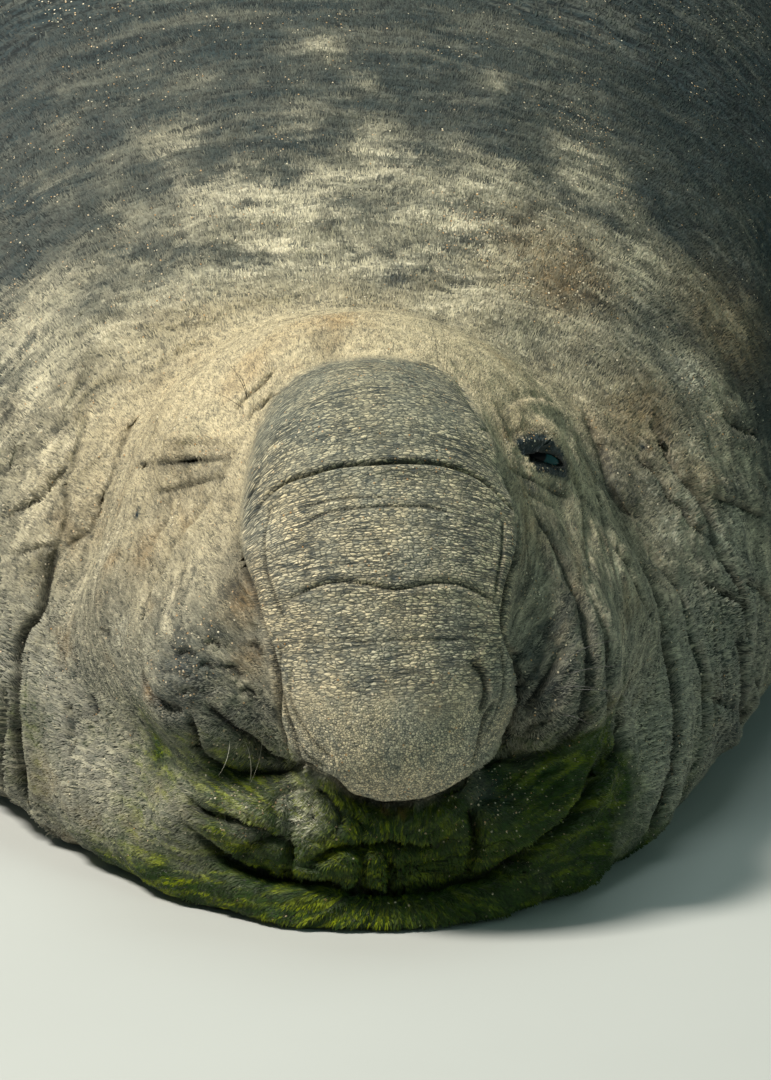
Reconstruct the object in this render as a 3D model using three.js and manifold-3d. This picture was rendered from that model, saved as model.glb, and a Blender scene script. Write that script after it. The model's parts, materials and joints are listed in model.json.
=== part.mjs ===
// A bull southern elephant seal asleep on its belly with its chin on the ground, life size, in millimetres.
// It faces -Y, its left side is +X and +Z is up. Depths are counted back from the front of the chin.
import * as THREE from 'three';
import { mergeVertices } from 'three/addons/utils/BufferGeometryUtils.js';
import Module from 'manifold-3d';

const wasm = await Module();
wasm.setup();

// Driving dimensions
const GAP = 0.35; // clearance between pieces that touch
const SIDES = [1, -1]; // left, right
const SIDE_NAMES = { 1: 'left', '-1': 'right' };
const WELD = 1e-3; // corners closer than this are one
const FARTHEST = 900; // no surface of the head is further from its middle
const HALVINGS = 26; // times that the way to a surface is halved when it is sought
const ROUND_FORMS = { ball: [14, 8], slit: [14, 6], ear: [10, 6], nostril: [12, 8] }; // facets and rows

// Trunk girths: depth at the ground, depth at the top, half width, height
const GIRTHS = [
  [0, 50, 66, 44], // chin roll
  [15, 125, 126, 84],
  [70, 225, 200, 150],
  [180, 350, 276, 265],
  [330, 480, 356, 405],
  [480, 610, 426, 530], // nape
  [700, 800, 512, 665],
  [1050, 1110, 626, 832], // shoulder
  [1500, 1520, 712, 942], // chest
  [2000, 2000, 712, 952], // belly
  [2600, 2600, 622, 834],
  [3200, 3200, 472, 648], // hip
  [3700, 3700, 316, 456],
  [4050, 4050, 190, 300],
  [4250, 4250, 112, 200],
  [4340, 4340, 56, 122], // tail root
];
const WIDEST_LEVEL = 0.33; // height of the widest line, as a share of the whole height
const SINK = 0.19; // share of the height that the weight presses flat
const SECTION_POWER = 2.25; // roundness of the trunk's section, 2 being an ellipse
const TRUNK_FACETS = 34;

// Neck rolls, rings of loose skin between the jaw and the shoulder
const ROLL_PITCH = 112;
const ROLL_DEPTH = 13;
const ROLL_START = 60;
const ROLL_END = 1080;
const ROLL_CREST = 0.5; // height of a crest, as a share of a fold's depth
const ROLL_ROUNDING = 0.7; // below 1, crests are round and folds are narrow
const ROLL_ONSET = 0.15; // how far along its rise the first roll is
const ROLL_LEAN = 0.8; // below 1, the strongest rolls are nearer the jaw
const NAPE_CALM = 0.75; // how far the rolls fade out over the nape
const RINGS_PER_ROLL = 3;
const CHIN_RINGS = [12, 34]; // depths of the close rings at the chin

// Lengths of the trunk that are pieces of their own: where each starts, and its rings
const TRUNK_PIECES = [
  { name: 'throat', start: 0, material: 'chin' },
  { name: 'neck', start: 480, material: 'coat' },
  { name: 'shoulders', start: 1050, material: 'coat', rings: 5 },
  { name: 'belly', start: 1650, material: 'coat', rings: 6 },
  { name: 'loin', start: 2500, material: 'coat', rings: 5 },
  { name: 'rump', start: 3150, material: 'coat', rings: 5 },
  { name: 'tail_stock', start: 3750, material: 'coat', rings: 7 },
];
const TRUNK_END = 4340;

// Head
const SKULL = { centre: [0, 430, 297], radii: [232, 262, 205] };
const CHEEK = { centre: [142, 335, 205], radii: [138, 190, 132] };
const SKULL_BLEND = 60;
const HEAD_CENTRE = [0, 400, 270];
const HEAD_FACETS = 40;
const HEAD_ROWS = 26;
const FRONT_CROWDING = 1.3; // above 1, the rows of the head and the jaw are closer at the front

const EYE = { centre: [160, 312, 384], radius: 32 };
const EYE_LOOK = [0.42, -0.88, 0.2];
const LID_THICKNESS = 10;
const SLITS = {
  1: { halfLength: 33, halfHeight: 13, tiltDegrees: -20 }, // half open
  '-1': { halfLength: 31, halfHeight: 1.8, tiltDegrees: -4 }, // nearly shut
};
const SLIT_HALF_DEPTH = 17;

const EAR_DIRECTION = [0.82, -0.06, 0.16]; // from the middle of the head to the ear hole
const EAR_HOLE = [9, 6, 9];

// Upper lip of each side: a cone of flesh from beside the eye down to the whisker pad
const LIP_TOP = { centre: [86, 265, 372], radius: 44 };
const LIP_LOW = { centre: [138, 140, 235], radius: 72 };
const WHISKER_PAD = { centre: [150, 128, 206], radii: [74, 88, 70] };
const LIP_BALLS = 5;
const LIP_BLEND = 30;

// Lower jaw with the lumps of its slack lower lip
const JAW = { centre: [0, 200, 103], radii: [222, 184, 74] };
const JAW_LUMPS = 6;
const JAW_LUMP_ARC = 124; // degrees of the chin that the lumps cover
const JAW_LUMP_RADII = [46, 36];
const JAW_LUMP_LEVELS = [76, 108];
const JAW_LUMP_SINK = { across: 0.55, along: 0.75 }; // how far in their middles lie, as shares of the radius
const JAW_LUMP_FLATNESS = 0.85; // height over width
const JAW_BLEND = 22;
const JAW_FACETS = 32;
const JAW_ROWS = 16;

// Proboscis, from its root in the forehead to the tip over the mouth:
// depth, height, half width, half thickness
const TRUNK_OF_NOSE = [
  [345, 372, 82, 80],
  [262, 394, 108, 90],
  [176, 374, 127, 97],
  [108, 314, 131, 93],
  [66, 240, 117, 83],
  [46, 190, 106, 76],
  [40, 154, 86, 64],
  [42, 124, 54, 42],
];
const NOSE_FACETS = 26;
const NOSE_RINGS = 28;
const NOSE_TIP_ROUNDING = 0.14; // share of its length over which the tip closes
const NOSE_TIP_BLUNTNESS = 0.02; // square of the size of its last ring
const NOSE_PROBE = 0.01; // share of its length over which its direction is read
const NOSE_FOLD_SIDES = 0.6; // depth of a fold at the sides, as a share of its depth in front
const NOSE_FOLDS = [
  { at: 0.335, depth: 9, spread: 0.022 },
  { at: 0.498, depth: 4, spread: 0.018 },
  { at: 0.572, depth: 4, spread: 0.018 },
];
const NOSTRIL = { centre: [84, 12, 166], radii: [9, 26, 27], tiltDegrees: 32 };

// Front flipper: path from the shoulder to the longest finger, with half width and half thickness
const FRONT_FLIPPER = {
  path: [[500, 1290, 190], [640, 1390, 120], [738, 1530, 40], [790, 1680, 13], [822, 1850, 7]],
  halfWidths: [95, 104, 112, 118, 104],
  halfThicknesses: [66, 48, 27, 15, 8],
  lengthAt: (across) => 1 - 0.09 * (across + 1),
  rows: 9,
  columns: 16,
};
// Hind flipper: outer toes longest, so that its edge is a crescent
const HIND_FLIPPER = {
  path: [[58, 4060, 118], [96, 4250, 84], [160, 4450, 36], [228, 4670, 12], [262, 4830, 7]],
  halfWidths: [50, 72, 124, 182, 196],
  halfThicknesses: [52, 42, 24, 13, 8],
  lengthAt: (across) => 0.76 + 0.24 * across * across,
  rows: 9,
  columns: 16,
};
const TOES = 5;
const TOE_SPREAD = 0.86; // how far out the outer toes lie, as a share of the half width
const TOE_RIDGE = 5;
const TOE_RISE = 0.5; // share of the length over which the toes rise from the root
const WEB_NOTCH = 0.045; // how far the web between two toes falls short, as a share of the length
const FLIPPER_EDGE = 0.34; // thickness left at the edges, as a share of the middle's
const FLIPPER_CORNER = { from: 0.8, cut: 0.1 }; // rounding of the corners, as shares of width and length

const CLAW = {
  length: 50,
  rootRadius: 8.5,
  tipRadius: 1.2,
  place: 0.93, // of its root, along the flipper
  rootShare: 0.15, // of its length, behind that place
  lift: 1,
  curl: 12,
  facets: 7,
  rings: 4,
};

const TAIL = {
  length: 110,
  halfWidth: 32,
  halfHeight: 22,
  height: 60,
  droop: 0.5, // share of its height that it loses towards the tip
  taper: 0.94, // share of its section that it loses towards the tip, squared
  rings: 5,
  facets: 12,
};

const COLOURS = {
  coat: [0x6f685c, 0.85],
  face: [0x9c8c70, 0.85],
  nose: [0x7d766a, 0.9],
  chin: [0x4d5226, 0.8],
  flipper: [0x4a4742, 0.75],
  eye: [0x0b1418, 0.08],
  claw: [0x1d1a18, 0.45],
};

// Vectors and fields. A field is negative inside a form, and about the distance from it in millimetres.

const vector = ([x, y, z]) => new THREE.Vector3(x, y, z);
const onSide = ([x, y, z], side) => [side * x, y, z];

function ellipsoidField(centre, radii) {
  const [cx, cy, cz] = centre;
  const [rx, ry, rz] = radii;
  return (p) => {
    const scaled = Math.hypot((p.x - cx) / rx, (p.y - cy) / ry, (p.z - cz) / rz);
    const slope = Math.hypot((p.x - cx) / rx ** 2, (p.y - cy) / ry ** 2, (p.z - cz) / rz ** 2);
    return slope > 0 ? (scaled * (scaled - 1)) / slope : -Math.min(rx, ry, rz);
  };
}

// Joins two distances with a fillet of about the blend's width
function blended(a, b, blend) {
  const share = Math.max(blend - Math.abs(a - b), 0) / blend;
  return Math.min(a, b) - (share * share * blend) / 4;
}

const unionField = (fields, blend) => (p) =>
  fields.map((field) => field(p)).reduce((a, b) => blended(a, b, blend));

// Closed surfaces from rings of points

// Joins rings of points, each ring of the same count, and closes both ends on a pole
function ringsGeometry(rings, firstPole = ringMiddle(rings[0]), lastPole = ringMiddle(rings.at(-1))) {
  const count = rings[0].length;
  const points = [...rings.flat(), firstPole, lastPole];
  const first = rings.length * count;
  const triangles = [];
  for (let i = 0; i < count; i++) {
    const next = (i + 1) % count;
    triangles.push([first, next, i]);
    for (let r = 0; r + 1 < rings.length; r++) {
      const [a, b] = [r * count + i, r * count + next];
      triangles.push([a, b, b + count], [a, b + count, a + count]);
    }
    const last = (rings.length - 1) * count;
    triangles.push([first + 1, last + i, last + next]);
  }
  return indexed(points, triangles);
}

function ringMiddle(ring) {
  const middle = ring.reduce((sum, p) => sum.add(p), new THREE.Vector3());
  return middle.divideScalar(ring.length);
}

function indexed(points, triangles) {
  const geometry = new THREE.BufferGeometry().setFromPoints(points);
  return geometry.setIndex(triangles.flat());
}

// The solid of a closed geometry, turned so that its faces point out
function solidOf(geometry) {
  const bare = geometry.clone();
  bare.deleteAttribute('normal');
  bare.deleteAttribute('uv');
  const merged = mergeVertices(bare, WELD);
  const made = (indices) => new wasm.Manifold(new wasm.Mesh({
    numProp: 3,
    vertProperties: new Float32Array(merged.attributes.position.array),
    triVerts: new Uint32Array(indices),
  }));
  const solid = made(merged.index.array);
  return solid.volume() > 0 ? solid : made([...merged.index.array].reverse());
}

// The largest closed body of a solid
function largestBody(solid) {
  return solid.decompose().reduce((a, b) => (a.volume() > b.volume() ? a : b));
}

function geometryOf(solid) {
  const mesh = largestBody(solid).getMesh();
  const positions = new Float32Array(mesh.numVert * 3);
  for (let i = 0; i < mesh.numVert; i++) {
    positions.set(mesh.vertProperties.subarray(i * mesh.numProp, i * mesh.numProp + 3), i * 3);
  }
  const geometry = new THREE.BufferGeometry();
  geometry.setAttribute('position', new THREE.BufferAttribute(positions, 3));
  return geometry.setIndex(new THREE.BufferAttribute(mesh.triVerts, 1));
}

const minus = (solid, ...cutters) => cutters.reduce((left, cutter) => left.subtract(cutter), solid);

// The distance from a centre, along a direction, to the surface of a field
function reach(field, centre, direction) {
  let [inside, outside] = [0, FARTHEST];
  for (let step = 0; step < HALVINGS; step++) {
    const middle = (inside + outside) / 2;
    if (field(centre.clone().addScaledVector(direction, middle)) < 0) inside = middle;
    else outside = middle;
  }
  return inside;
}

// The surface of a field, seen from a centre inside it, as a closed solid with its poles on the Y axis.
// Its rows crowd towards the front.
function castSolid(field, centre, facets, rows, grow, stretch = [1, 1, 1]) {
  const middle = vector(centre);
  const pointAt = (polar, around) => {
    const direction = new THREE.Vector3(
      Math.sin(polar) * Math.cos(around), -Math.cos(polar), Math.sin(polar) * Math.sin(around));
    direction.multiply(vector(stretch)).normalize();
    return middle.clone().addScaledVector(direction, reach(field, middle, direction) + grow);
  };
  const rings = [];
  for (let row = 1; row < rows; row++) {
    const polar = Math.PI * (row / rows) ** FRONT_CROWDING;
    rings.push(circleOf(facets, (around) => pointAt(polar, around)));
  }
  return solidOf(ringsGeometry(rings, pointAt(0, 0), pointAt(Math.PI, 0)));
}

function circleOf(count, pointAt) {
  return Array.from({ length: count }, (_, i) => pointAt((2 * Math.PI * i) / count - Math.PI / 2));
}

// An ellipsoid as a solid, turned by a quaternion about its centre
function ellipsoidSolid(centre, radii, [facets, rows] = ROUND_FORMS.ball, turn = new THREE.Quaternion()) {
  const geometry = new THREE.SphereGeometry(1, facets, rows);
  geometry.applyMatrix4(new THREE.Matrix4().compose(vector(centre), turn, vector(radii)));
  return solidOf(geometry);
}

// A smooth curve through rows of numbers, read at any place between the first row and the last
function smoothTable(rows, places) {
  const curve = new THREE.CubicInterpolant(places, rows.flat(), rows[0].length);
  return (place) => [...curve.evaluate(place)];
}

// Trunk

const girthAt = smoothTable(GIRTHS, GIRTHS.map(([ground]) => ground));

// How far a neck roll swells the skin at a ground depth, from -1 in a fold to about 0.5 on a crest
function rollAt(depth) {
  if (depth < ROLL_START || depth > ROLL_END) return 0;
  const along = (depth - ROLL_START) / (ROLL_END - ROLL_START);
  const wave = Math.abs(Math.sin((Math.PI * (depth - ROLL_START)) / ROLL_PITCH));
  const strength = Math.sin(Math.PI * Math.min(1, ROLL_ONSET + along) ** ROLL_LEAN);
  return ((1 + ROLL_CREST) * wave ** ROLL_ROUNDING - 1) * strength;
}

// One ring of the trunk, in a plane that leans back as the throat does
function trunkRing(depth, grow = 0) {
  const [ground, top, halfWidth, height] = girthAt(depth);
  const waist = height * WIDEST_LEVEL;
  const lean = (top - ground) / height;
  return circleOf(TRUNK_FACETS, (angle) => {
    const [c, s] = [Math.cos(angle), Math.sin(angle)];
    const bulge = (Math.abs(c) ** SECTION_POWER + Math.abs(s) ** SECTION_POWER) ** (-1 / SECTION_POWER);
    const rise = s > 0 ? height - waist : waist + SINK * height;
    const sideShare = 1 - NAPE_CALM * Math.max(s, 0) ** 2;
    const swell = grow + ROLL_DEPTH * rollAt(depth) * sideShare;
    const x = c * (halfWidth * bulge + swell);
    const z = Math.max(0, waist + s * (rise * bulge + swell));
    return new THREE.Vector3(x, ground + lean * z, z);
  });
}

const RING_SPACE = ROLL_PITCH / RINGS_PER_ROLL;

// Ring depths from one to another: close ones at the chin, then the same number to each neck roll
function ringDepths(start, end, rings) {
  if (rings) return Array.from({ length: rings + 1 }, (_, i) => start + ((end - start) * i) / rings);
  const depths = start === 0 ? [start, ...CHIN_RINGS] : [start];
  const clearance = RING_SPACE / 3; // from the ends of the piece
  for (let depth = ROLL_START; depth < end - clearance; depth += RING_SPACE) {
    if (depth > start + clearance) depths.push(depth);
  }
  return [...depths, end];
}

function trunkSolid(start, end, rings, grow = 0) {
  return solidOf(ringsGeometry(ringDepths(start, end, rings).map((depth) => trunkRing(depth, grow))));
}

// The whole trunk grown by the gap, to cut what grows out of it
function trunkCutter() {
  const ends = [...TRUNK_PIECES.slice(1).map(({ start }) => start), TRUNK_END];
  const depths = TRUNK_PIECES.flatMap(
    ({ start, rings }, i) => ringDepths(start, ends[i], rings).slice(0, -1));
  return solidOf(ringsGeometry([...depths, TRUNK_END].map((depth) => trunkRing(depth, GAP))));
}

// Head

const eyeCentre = (side) => onSide(EYE.centre, side);

function lipField(side) {
  const balls = Array.from({ length: LIP_BALLS }, (_, i) => {
    const share = i / (LIP_BALLS - 1);
    const centre = vector(LIP_TOP.centre).lerp(vector(LIP_LOW.centre), share).toArray();
    const radius = THREE.MathUtils.lerp(LIP_TOP.radius, LIP_LOW.radius, share);
    return ellipsoidField(onSide(centre, side), [radius, radius, radius]);
  });
  const pad = ellipsoidField(onSide(WHISKER_PAD.centre, side), WHISKER_PAD.radii);
  return unionField([...balls, pad], LIP_BLEND);
}

const headField = unionField([
  ellipsoidField(SKULL.centre, SKULL.radii),
  ...SIDES.map((side) => ellipsoidField(onSide(CHEEK.centre, side), CHEEK.radii)),
  ...SIDES.map(lipField),
], SKULL_BLEND);

// The head with its lids, without the holes
function headSolid(grow) {
  const skull = castSolid(headField, HEAD_CENTRE, HEAD_FACETS, HEAD_ROWS, grow);
  const lidRadii = Array(3).fill(EYE.radius + LID_THICKNESS + grow);
  return SIDES.reduce((head, side) => head.add(ellipsoidSolid(eyeCentre(side), lidRadii)), skull);
}

// The slit between the lids: the left eye is half open and the right one is nearly shut
function lidSlit(side) {
  const look = vector(onSide(EYE_LOOK, side)).normalize();
  const along = new THREE.Vector3(0, 0, 1).cross(look).normalize();
  along.applyAxisAngle(look, THREE.MathUtils.degToRad(SLITS[side].tiltDegrees * side));
  const basis = new THREE.Matrix4().makeBasis(along, look.clone().cross(along), look);
  const turn = new THREE.Quaternion().setFromRotationMatrix(basis);
  const centre = vector(eyeCentre(side)).addScaledVector(look, EYE.radius + LID_THICKNESS / 2);
  const { halfLength, halfHeight } = SLITS[side];
  return ellipsoidSolid(centre.toArray(), [halfLength, halfHeight, SLIT_HALF_DEPTH], ROUND_FORMS.slit, turn);
}

function earHole(side) {
  const direction = vector(onSide(EAR_DIRECTION, side)).normalize();
  const centre = vector(HEAD_CENTRE);
  centre.addScaledVector(direction, reach(headField, centre, direction));
  return ellipsoidSolid(centre.toArray(), EAR_HOLE, ROUND_FORMS.ear);
}

// The lower jaw, with lumps of alternating size round the chin
function jawField() {
  const lumps = Array.from({ length: JAW_LUMPS }, (_, i) => {
    const share = i / (JAW_LUMPS - 1) - 0.5;
    const angle = THREE.MathUtils.degToRad(JAW_LUMP_ARC * share);
    const kind = i % 2;
    const radius = JAW_LUMP_RADII[kind];
    const [, depth] = JAW.centre;
    const x = (JAW.radii[0] - JAW_LUMP_SINK.across * radius) * Math.sin(angle);
    const y = depth - (JAW.radii[1] - JAW_LUMP_SINK.along * radius) * Math.cos(angle);
    return ellipsoidField([x, y, JAW_LUMP_LEVELS[kind]], [radius, radius, JAW_LUMP_FLATNESS * radius]);
  });
  return unionField([ellipsoidField(JAW.centre, JAW.radii), ...lumps], JAW_BLEND);
}

const jawSolid = (grow) => castSolid(jawField(), JAW.centre, JAW_FACETS, JAW_ROWS, grow, JAW.radii);

// Proboscis

const nosePlaces = TRUNK_OF_NOSE.map((_, i) => i / (TRUNK_OF_NOSE.length - 1));
const noseAt = smoothTable(TRUNK_OF_NOSE, nosePlaces);

function noseRing(place, grow) {
  const [depth, height, halfWidth, halfThickness] = noseAt(place);
  const [nextDepth, nextHeight] = noseAt(Math.min(1, place + NOSE_PROBE));
  const [lastDepth, lastHeight] = noseAt(Math.max(0, place - NOSE_PROBE));
  const along = new THREE.Vector3(0, nextDepth - lastDepth, nextHeight - lastHeight).normalize();
  const forward = new THREE.Vector3(0, along.z, -along.y);
  const past = grow * Math.sign(Math.round(2 * place - 1)); // the cutter is longer at both ends too
  const closing = Math.max(0, (place - (1 - NOSE_TIP_ROUNDING)) / NOSE_TIP_ROUNDING);
  const round = Math.sqrt(Math.max(NOSE_TIP_BLUNTNESS, 1 - closing * closing));
  const dent = NOSE_FOLDS.reduce(
    (sum, fold) => sum + fold.depth * Math.exp(-(((place - fold.at) / fold.spread) ** 2)), 0);
  return circleOf(NOSE_FACETS, (angle) => {
    const [c, s] = [Math.cos(angle), Math.sin(angle)];
    const front = Math.max(0, s);
    const point = new THREE.Vector3(c * (halfWidth * round - NOSE_FOLD_SIDES * dent + grow), depth, height);
    point.addScaledVector(along, past);
    return point.addScaledVector(forward, s * (halfThickness * round + grow) - dent * front);
  });
}

function noseSolid(grow) {
  const rings = Array.from({ length: NOSE_RINGS + 1 }, (_, i) => noseRing(i / NOSE_RINGS, grow));
  return solidOf(ringsGeometry(rings));
}

function nostril(side) {
  const tilt = THREE.MathUtils.degToRad(NOSTRIL.tiltDegrees * side);
  const turn = new THREE.Quaternion().setFromEuler(new THREE.Euler(0, tilt, 0));
  return ellipsoidSolid(onSide(NOSTRIL.centre, side), NOSTRIL.radii, ROUND_FORMS.nostril, turn);
}

// Flippers

// Height of the toe ridges across a flipper, from 0 in the web to 1 on a toe
const toeAt = (across) => 0.5 + 0.5 * Math.cos((Math.PI * across * (TOES - 1)) / TOE_SPREAD);

// A flipper with its middle line, and its half width and half thickness along it
function laidFlipper(flipper) {
  const places = flipper.path.map((_, i) => i / (flipper.path.length - 1));
  const sizes = flipper.halfWidths.map((width, i) => [width, flipper.halfThicknesses[i]]);
  const curve = new THREE.CatmullRomCurve3(flipper.path.map(vector));
  return { ...flipper, curve, widthAt: smoothTable(sizes, places) };
}

const FRONT = laidFlipper(FRONT_FLIPPER);
const HIND = laidFlipper(HIND_FLIPPER);

// A point of a flipper. Along runs 0 to 1 from root to tip, across runs -1 to 1, and face is 1 on top
// and -1 below.
function flipperPoint({ curve, widthAt, lengthAt }, side, along, across, face) {
  const notch = WEB_NOTCH * (1 - toeAt(across)) * along;
  const corner = Math.max(0, Math.abs(across) - FLIPPER_CORNER.from) / (1 - FLIPPER_CORNER.from);
  const cut = FLIPPER_CORNER.cut * corner * corner * along;
  const place = Math.min(1, along * (lengthAt(across) - notch - cut));
  const [halfWidth, halfThickness] = widthAt(place);
  const middle = curve.getPoint(place);
  const ahead = curve.getTangent(place);
  const sideways = new THREE.Vector3(ahead.y, -ahead.x, 0).normalize();
  const bulge = FLIPPER_EDGE + (1 - FLIPPER_EDGE) * Math.sqrt(1 - across * across);
  const ridge = face > 0 ? TOE_RIDGE * toeAt(across) * Math.min(1, place / TOE_RISE) * bulge : 0;
  const point = middle.addScaledVector(sideways, across * halfWidth);
  point.z = Math.max(0, point.z + face * halfThickness * bulge + ridge);
  point.x *= side;
  return point;
}

// A plate with the same triangles on both faces, closed round its edge
function flipperSolid(flipper, side) {
  const { rows, columns } = flipper;
  const stride = columns + 1;
  const faceSize = (rows + 1) * stride;
  const points = [1, -1].flatMap((face) => Array.from({ length: faceSize }, (_, i) => {
    const along = Math.floor(i / stride) / rows;
    const across = (2 * (i % stride)) / columns - 1;
    return flipperPoint(flipper, side, along, across, face);
  }));
  const triangles = [];
  for (let row = 0; row < rows; row++) {
    for (let column = 0; column < columns; column++) {
      const a = row * stride + column;
      for (const [p, q, r] of [[a, a + 1, a + stride + 1], [a, a + stride + 1, a + stride]]) {
        triangles.push([p, q, r], [p + faceSize, r + faceSize, q + faceSize]);
      }
    }
  }
  const edge = [
    ...Array.from({ length: columns }, (_, c) => c),
    ...Array.from({ length: rows }, (_, r) => r * stride + columns),
    ...Array.from({ length: columns }, (_, c) => rows * stride + columns - c),
    ...Array.from({ length: rows }, (_, r) => (rows - r) * stride),
  ];
  edge.forEach((from, i) => {
    const to = edge[(i + 1) % edge.length];
    triangles.push([from, from + faceSize, to + faceSize], [from, to + faceSize, to]);
  });
  return solidOf(indexed(points, triangles));
}

// A curved claw lying along a finger of the front flipper
function clawSolid(side, toe, grow) {
  const across = TOE_SPREAD * ((2 * toe) / (TOES - 1) - 1);
  const at = (along) => flipperPoint(FRONT, side, along, across, 1);
  const root = at(CLAW.place);
  const ahead = at(1).sub(root).setZ(0).normalize();
  const sideways = new THREE.Vector3(-ahead.y, ahead.x, 0);
  const rings = Array.from({ length: CLAW.rings + 1 }, (_, i) => {
    const share = i / CLAW.rings;
    const radius = THREE.MathUtils.lerp(CLAW.rootRadius, CLAW.tipRadius, share) + grow;
    const distance = CLAW.length * (share - CLAW.rootShare) + grow * (2 * share - 1);
    const middle = root.clone().addScaledVector(ahead, distance);
    middle.z = Math.max(radius, root.z + CLAW.lift - CLAW.curl * share * share);
    return circleOf(CLAW.facets, (angle) => middle.clone()
      .addScaledVector(sideways, radius * Math.cos(angle))
      .add(new THREE.Vector3(0, 0, radius * Math.sin(angle))));
  });
  return solidOf(ringsGeometry(rings));
}

function tailSolid(grow) {
  const rings = Array.from({ length: TAIL.rings + 1 }, (_, i) => {
    const share = i / TAIL.rings;
    const round = Math.sqrt(1 - TAIL.taper * share * share);
    const height = TAIL.height * (1 - TAIL.droop * share);
    return circleOf(TAIL.facets, (angle) => new THREE.Vector3(
      Math.cos(angle) * (TAIL.halfWidth * round + grow),
      TRUNK_END + GAP - grow + (TAIL.length + 2 * grow) * share,
      height + Math.sin(angle) * (TAIL.halfHeight * round + grow)));
  });
  return solidOf(ringsGeometry(rings));
}

// Assembly

const materials = Object.fromEntries(Object.entries(COLOURS).map(([name, [color, roughness]]) =>
  [name, new THREE.MeshStandardMaterial({ color, roughness, metalness: 0 })]));

const seal = new THREE.Group();

function addPiece(name, solid, material) {
  const mesh = new THREE.Mesh(geometryOf(solid), materials[material]);
  mesh.name = name;
  seal.add(mesh);
}

function addHead() {
  const noseCutter = noseSolid(GAP);
  const jawCutter = jawSolid(GAP);
  const [throat, neck] = TRUNK_PIECES;
  const [ground, top, , height] = girthAt(neck.start);
  const backNormal = new THREE.Vector3(0, -1, (top - ground) / height);
  const backOffset = -(ground - GAP / 2) / backNormal.length();
  const trim = (solid) => solid.trimByPlane(backNormal.clone().normalize().toArray(), backOffset);

  addPiece('proboscis', minus(noseSolid(0), ...SIDES.map(nostril)), 'nose');
  for (const side of SIDES) {
    const eyeRadii = Array(3).fill(EYE.radius);
    addPiece(`eye_${SIDE_NAMES[side]}`, ellipsoidSolid(eyeCentre(side), eyeRadii), 'eye');
  }
  addPiece('lower_jaw', minus(jawSolid(0), noseCutter), 'chin');

  const sockets = SIDES.map((side) => ellipsoidSolid(eyeCentre(side), Array(3).fill(EYE.radius + GAP)));
  const holes = SIDES.flatMap((side) => [lidSlit(side), earHole(side)]);
  addPiece('head', trim(minus(headSolid(0), noseCutter, jawCutter, ...sockets, ...holes)), 'face');

  const roll = trunkSolid(throat.start, neck.start - GAP / 2);
  addPiece(throat.name, minus(roll, headSolid(GAP), noseCutter, jawCutter), throat.material);
}

function addTrunk() {
  TRUNK_PIECES.slice(1).forEach(({ name, start, rings, material }, i) => {
    const next = TRUNK_PIECES[i + 2];
    const end = next ? next.start - GAP / 2 : TRUNK_END;
    addPiece(name, trunkSolid(start + GAP / 2, end, rings), material);
  });
  addPiece('tail', tailSolid(0), 'flipper');
}

function addFlippers() {
  const body = trunkCutter();
  const tailCutter = tailSolid(GAP);
  for (const side of SIDES) {
    const sideName = SIDE_NAMES[side];
    const toes = Array.from({ length: TOES }, (_, toe) => toe);
    const clawCutters = toes.map((toe) => clawSolid(side, toe, GAP));
    addPiece(`front_flipper_${sideName}`, minus(flipperSolid(FRONT, side), body, ...clawCutters), 'flipper');
    toes.forEach((toe) => addPiece(`claw_${sideName}_${toe + 1}`, clawSolid(side, toe, 0), 'claw'));
    addPiece(`hind_flipper_${sideName}`, minus(flipperSolid(HIND, side), body, tailCutter), 'flipper');
  }
}

addHead();
addTrunk();
addFlippers();

// The origin is on the ground, under the middle of the whole length
const reachOfAll = new THREE.Box3().setFromObject(seal);
seal.position.y = -(reachOfAll.min.y + reachOfAll.max.y) / 2;

export default seal;
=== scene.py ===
"""A bull southern elephant seal asleep on its belly, life size, in metres.

It faces -Y, its left side is +X and +Z is up. One hide covers all of its flesh. Fur tufts, eyes, claws
and whiskers are pieces of their own.
"""

import json
import logging
import math
from dataclasses import dataclass, field
from enum import Enum
from typing import Any, Callable, Sequence

import bmesh
import bpy
import numpy as np
from bpy.types import Material, Mesh, Node, NodeSocket, NodeTree, Object
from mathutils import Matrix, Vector
from mathutils.bvhtree import BVHTree

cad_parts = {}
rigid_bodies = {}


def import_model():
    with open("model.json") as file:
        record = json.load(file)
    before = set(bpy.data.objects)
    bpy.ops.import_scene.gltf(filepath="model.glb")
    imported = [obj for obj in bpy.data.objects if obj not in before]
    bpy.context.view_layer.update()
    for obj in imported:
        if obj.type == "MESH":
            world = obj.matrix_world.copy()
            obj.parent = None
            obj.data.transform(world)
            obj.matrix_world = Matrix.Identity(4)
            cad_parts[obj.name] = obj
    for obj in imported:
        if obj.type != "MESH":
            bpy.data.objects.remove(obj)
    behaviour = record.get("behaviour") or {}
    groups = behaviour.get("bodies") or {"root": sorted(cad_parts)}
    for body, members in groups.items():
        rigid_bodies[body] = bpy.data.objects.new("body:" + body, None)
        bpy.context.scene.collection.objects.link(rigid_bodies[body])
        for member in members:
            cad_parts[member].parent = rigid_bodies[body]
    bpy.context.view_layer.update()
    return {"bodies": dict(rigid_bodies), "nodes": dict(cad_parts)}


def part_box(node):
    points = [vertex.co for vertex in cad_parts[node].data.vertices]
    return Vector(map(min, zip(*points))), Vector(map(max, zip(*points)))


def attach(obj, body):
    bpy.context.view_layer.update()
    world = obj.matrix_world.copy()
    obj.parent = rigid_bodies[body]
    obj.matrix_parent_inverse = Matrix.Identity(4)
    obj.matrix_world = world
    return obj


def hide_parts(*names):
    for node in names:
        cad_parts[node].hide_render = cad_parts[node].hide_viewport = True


for leftover in list(bpy.data.objects):  # an opened Blender may hold a cube, a lamp and a camera
    bpy.data.objects.remove(leftover)

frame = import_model()

LOG = logging.getLogger("elephant_seal")
BODY = next(iter(frame["bodies"]))
CHIN_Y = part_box("throat")[0].y  # the front of the chin, from which depths are counted back

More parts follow.
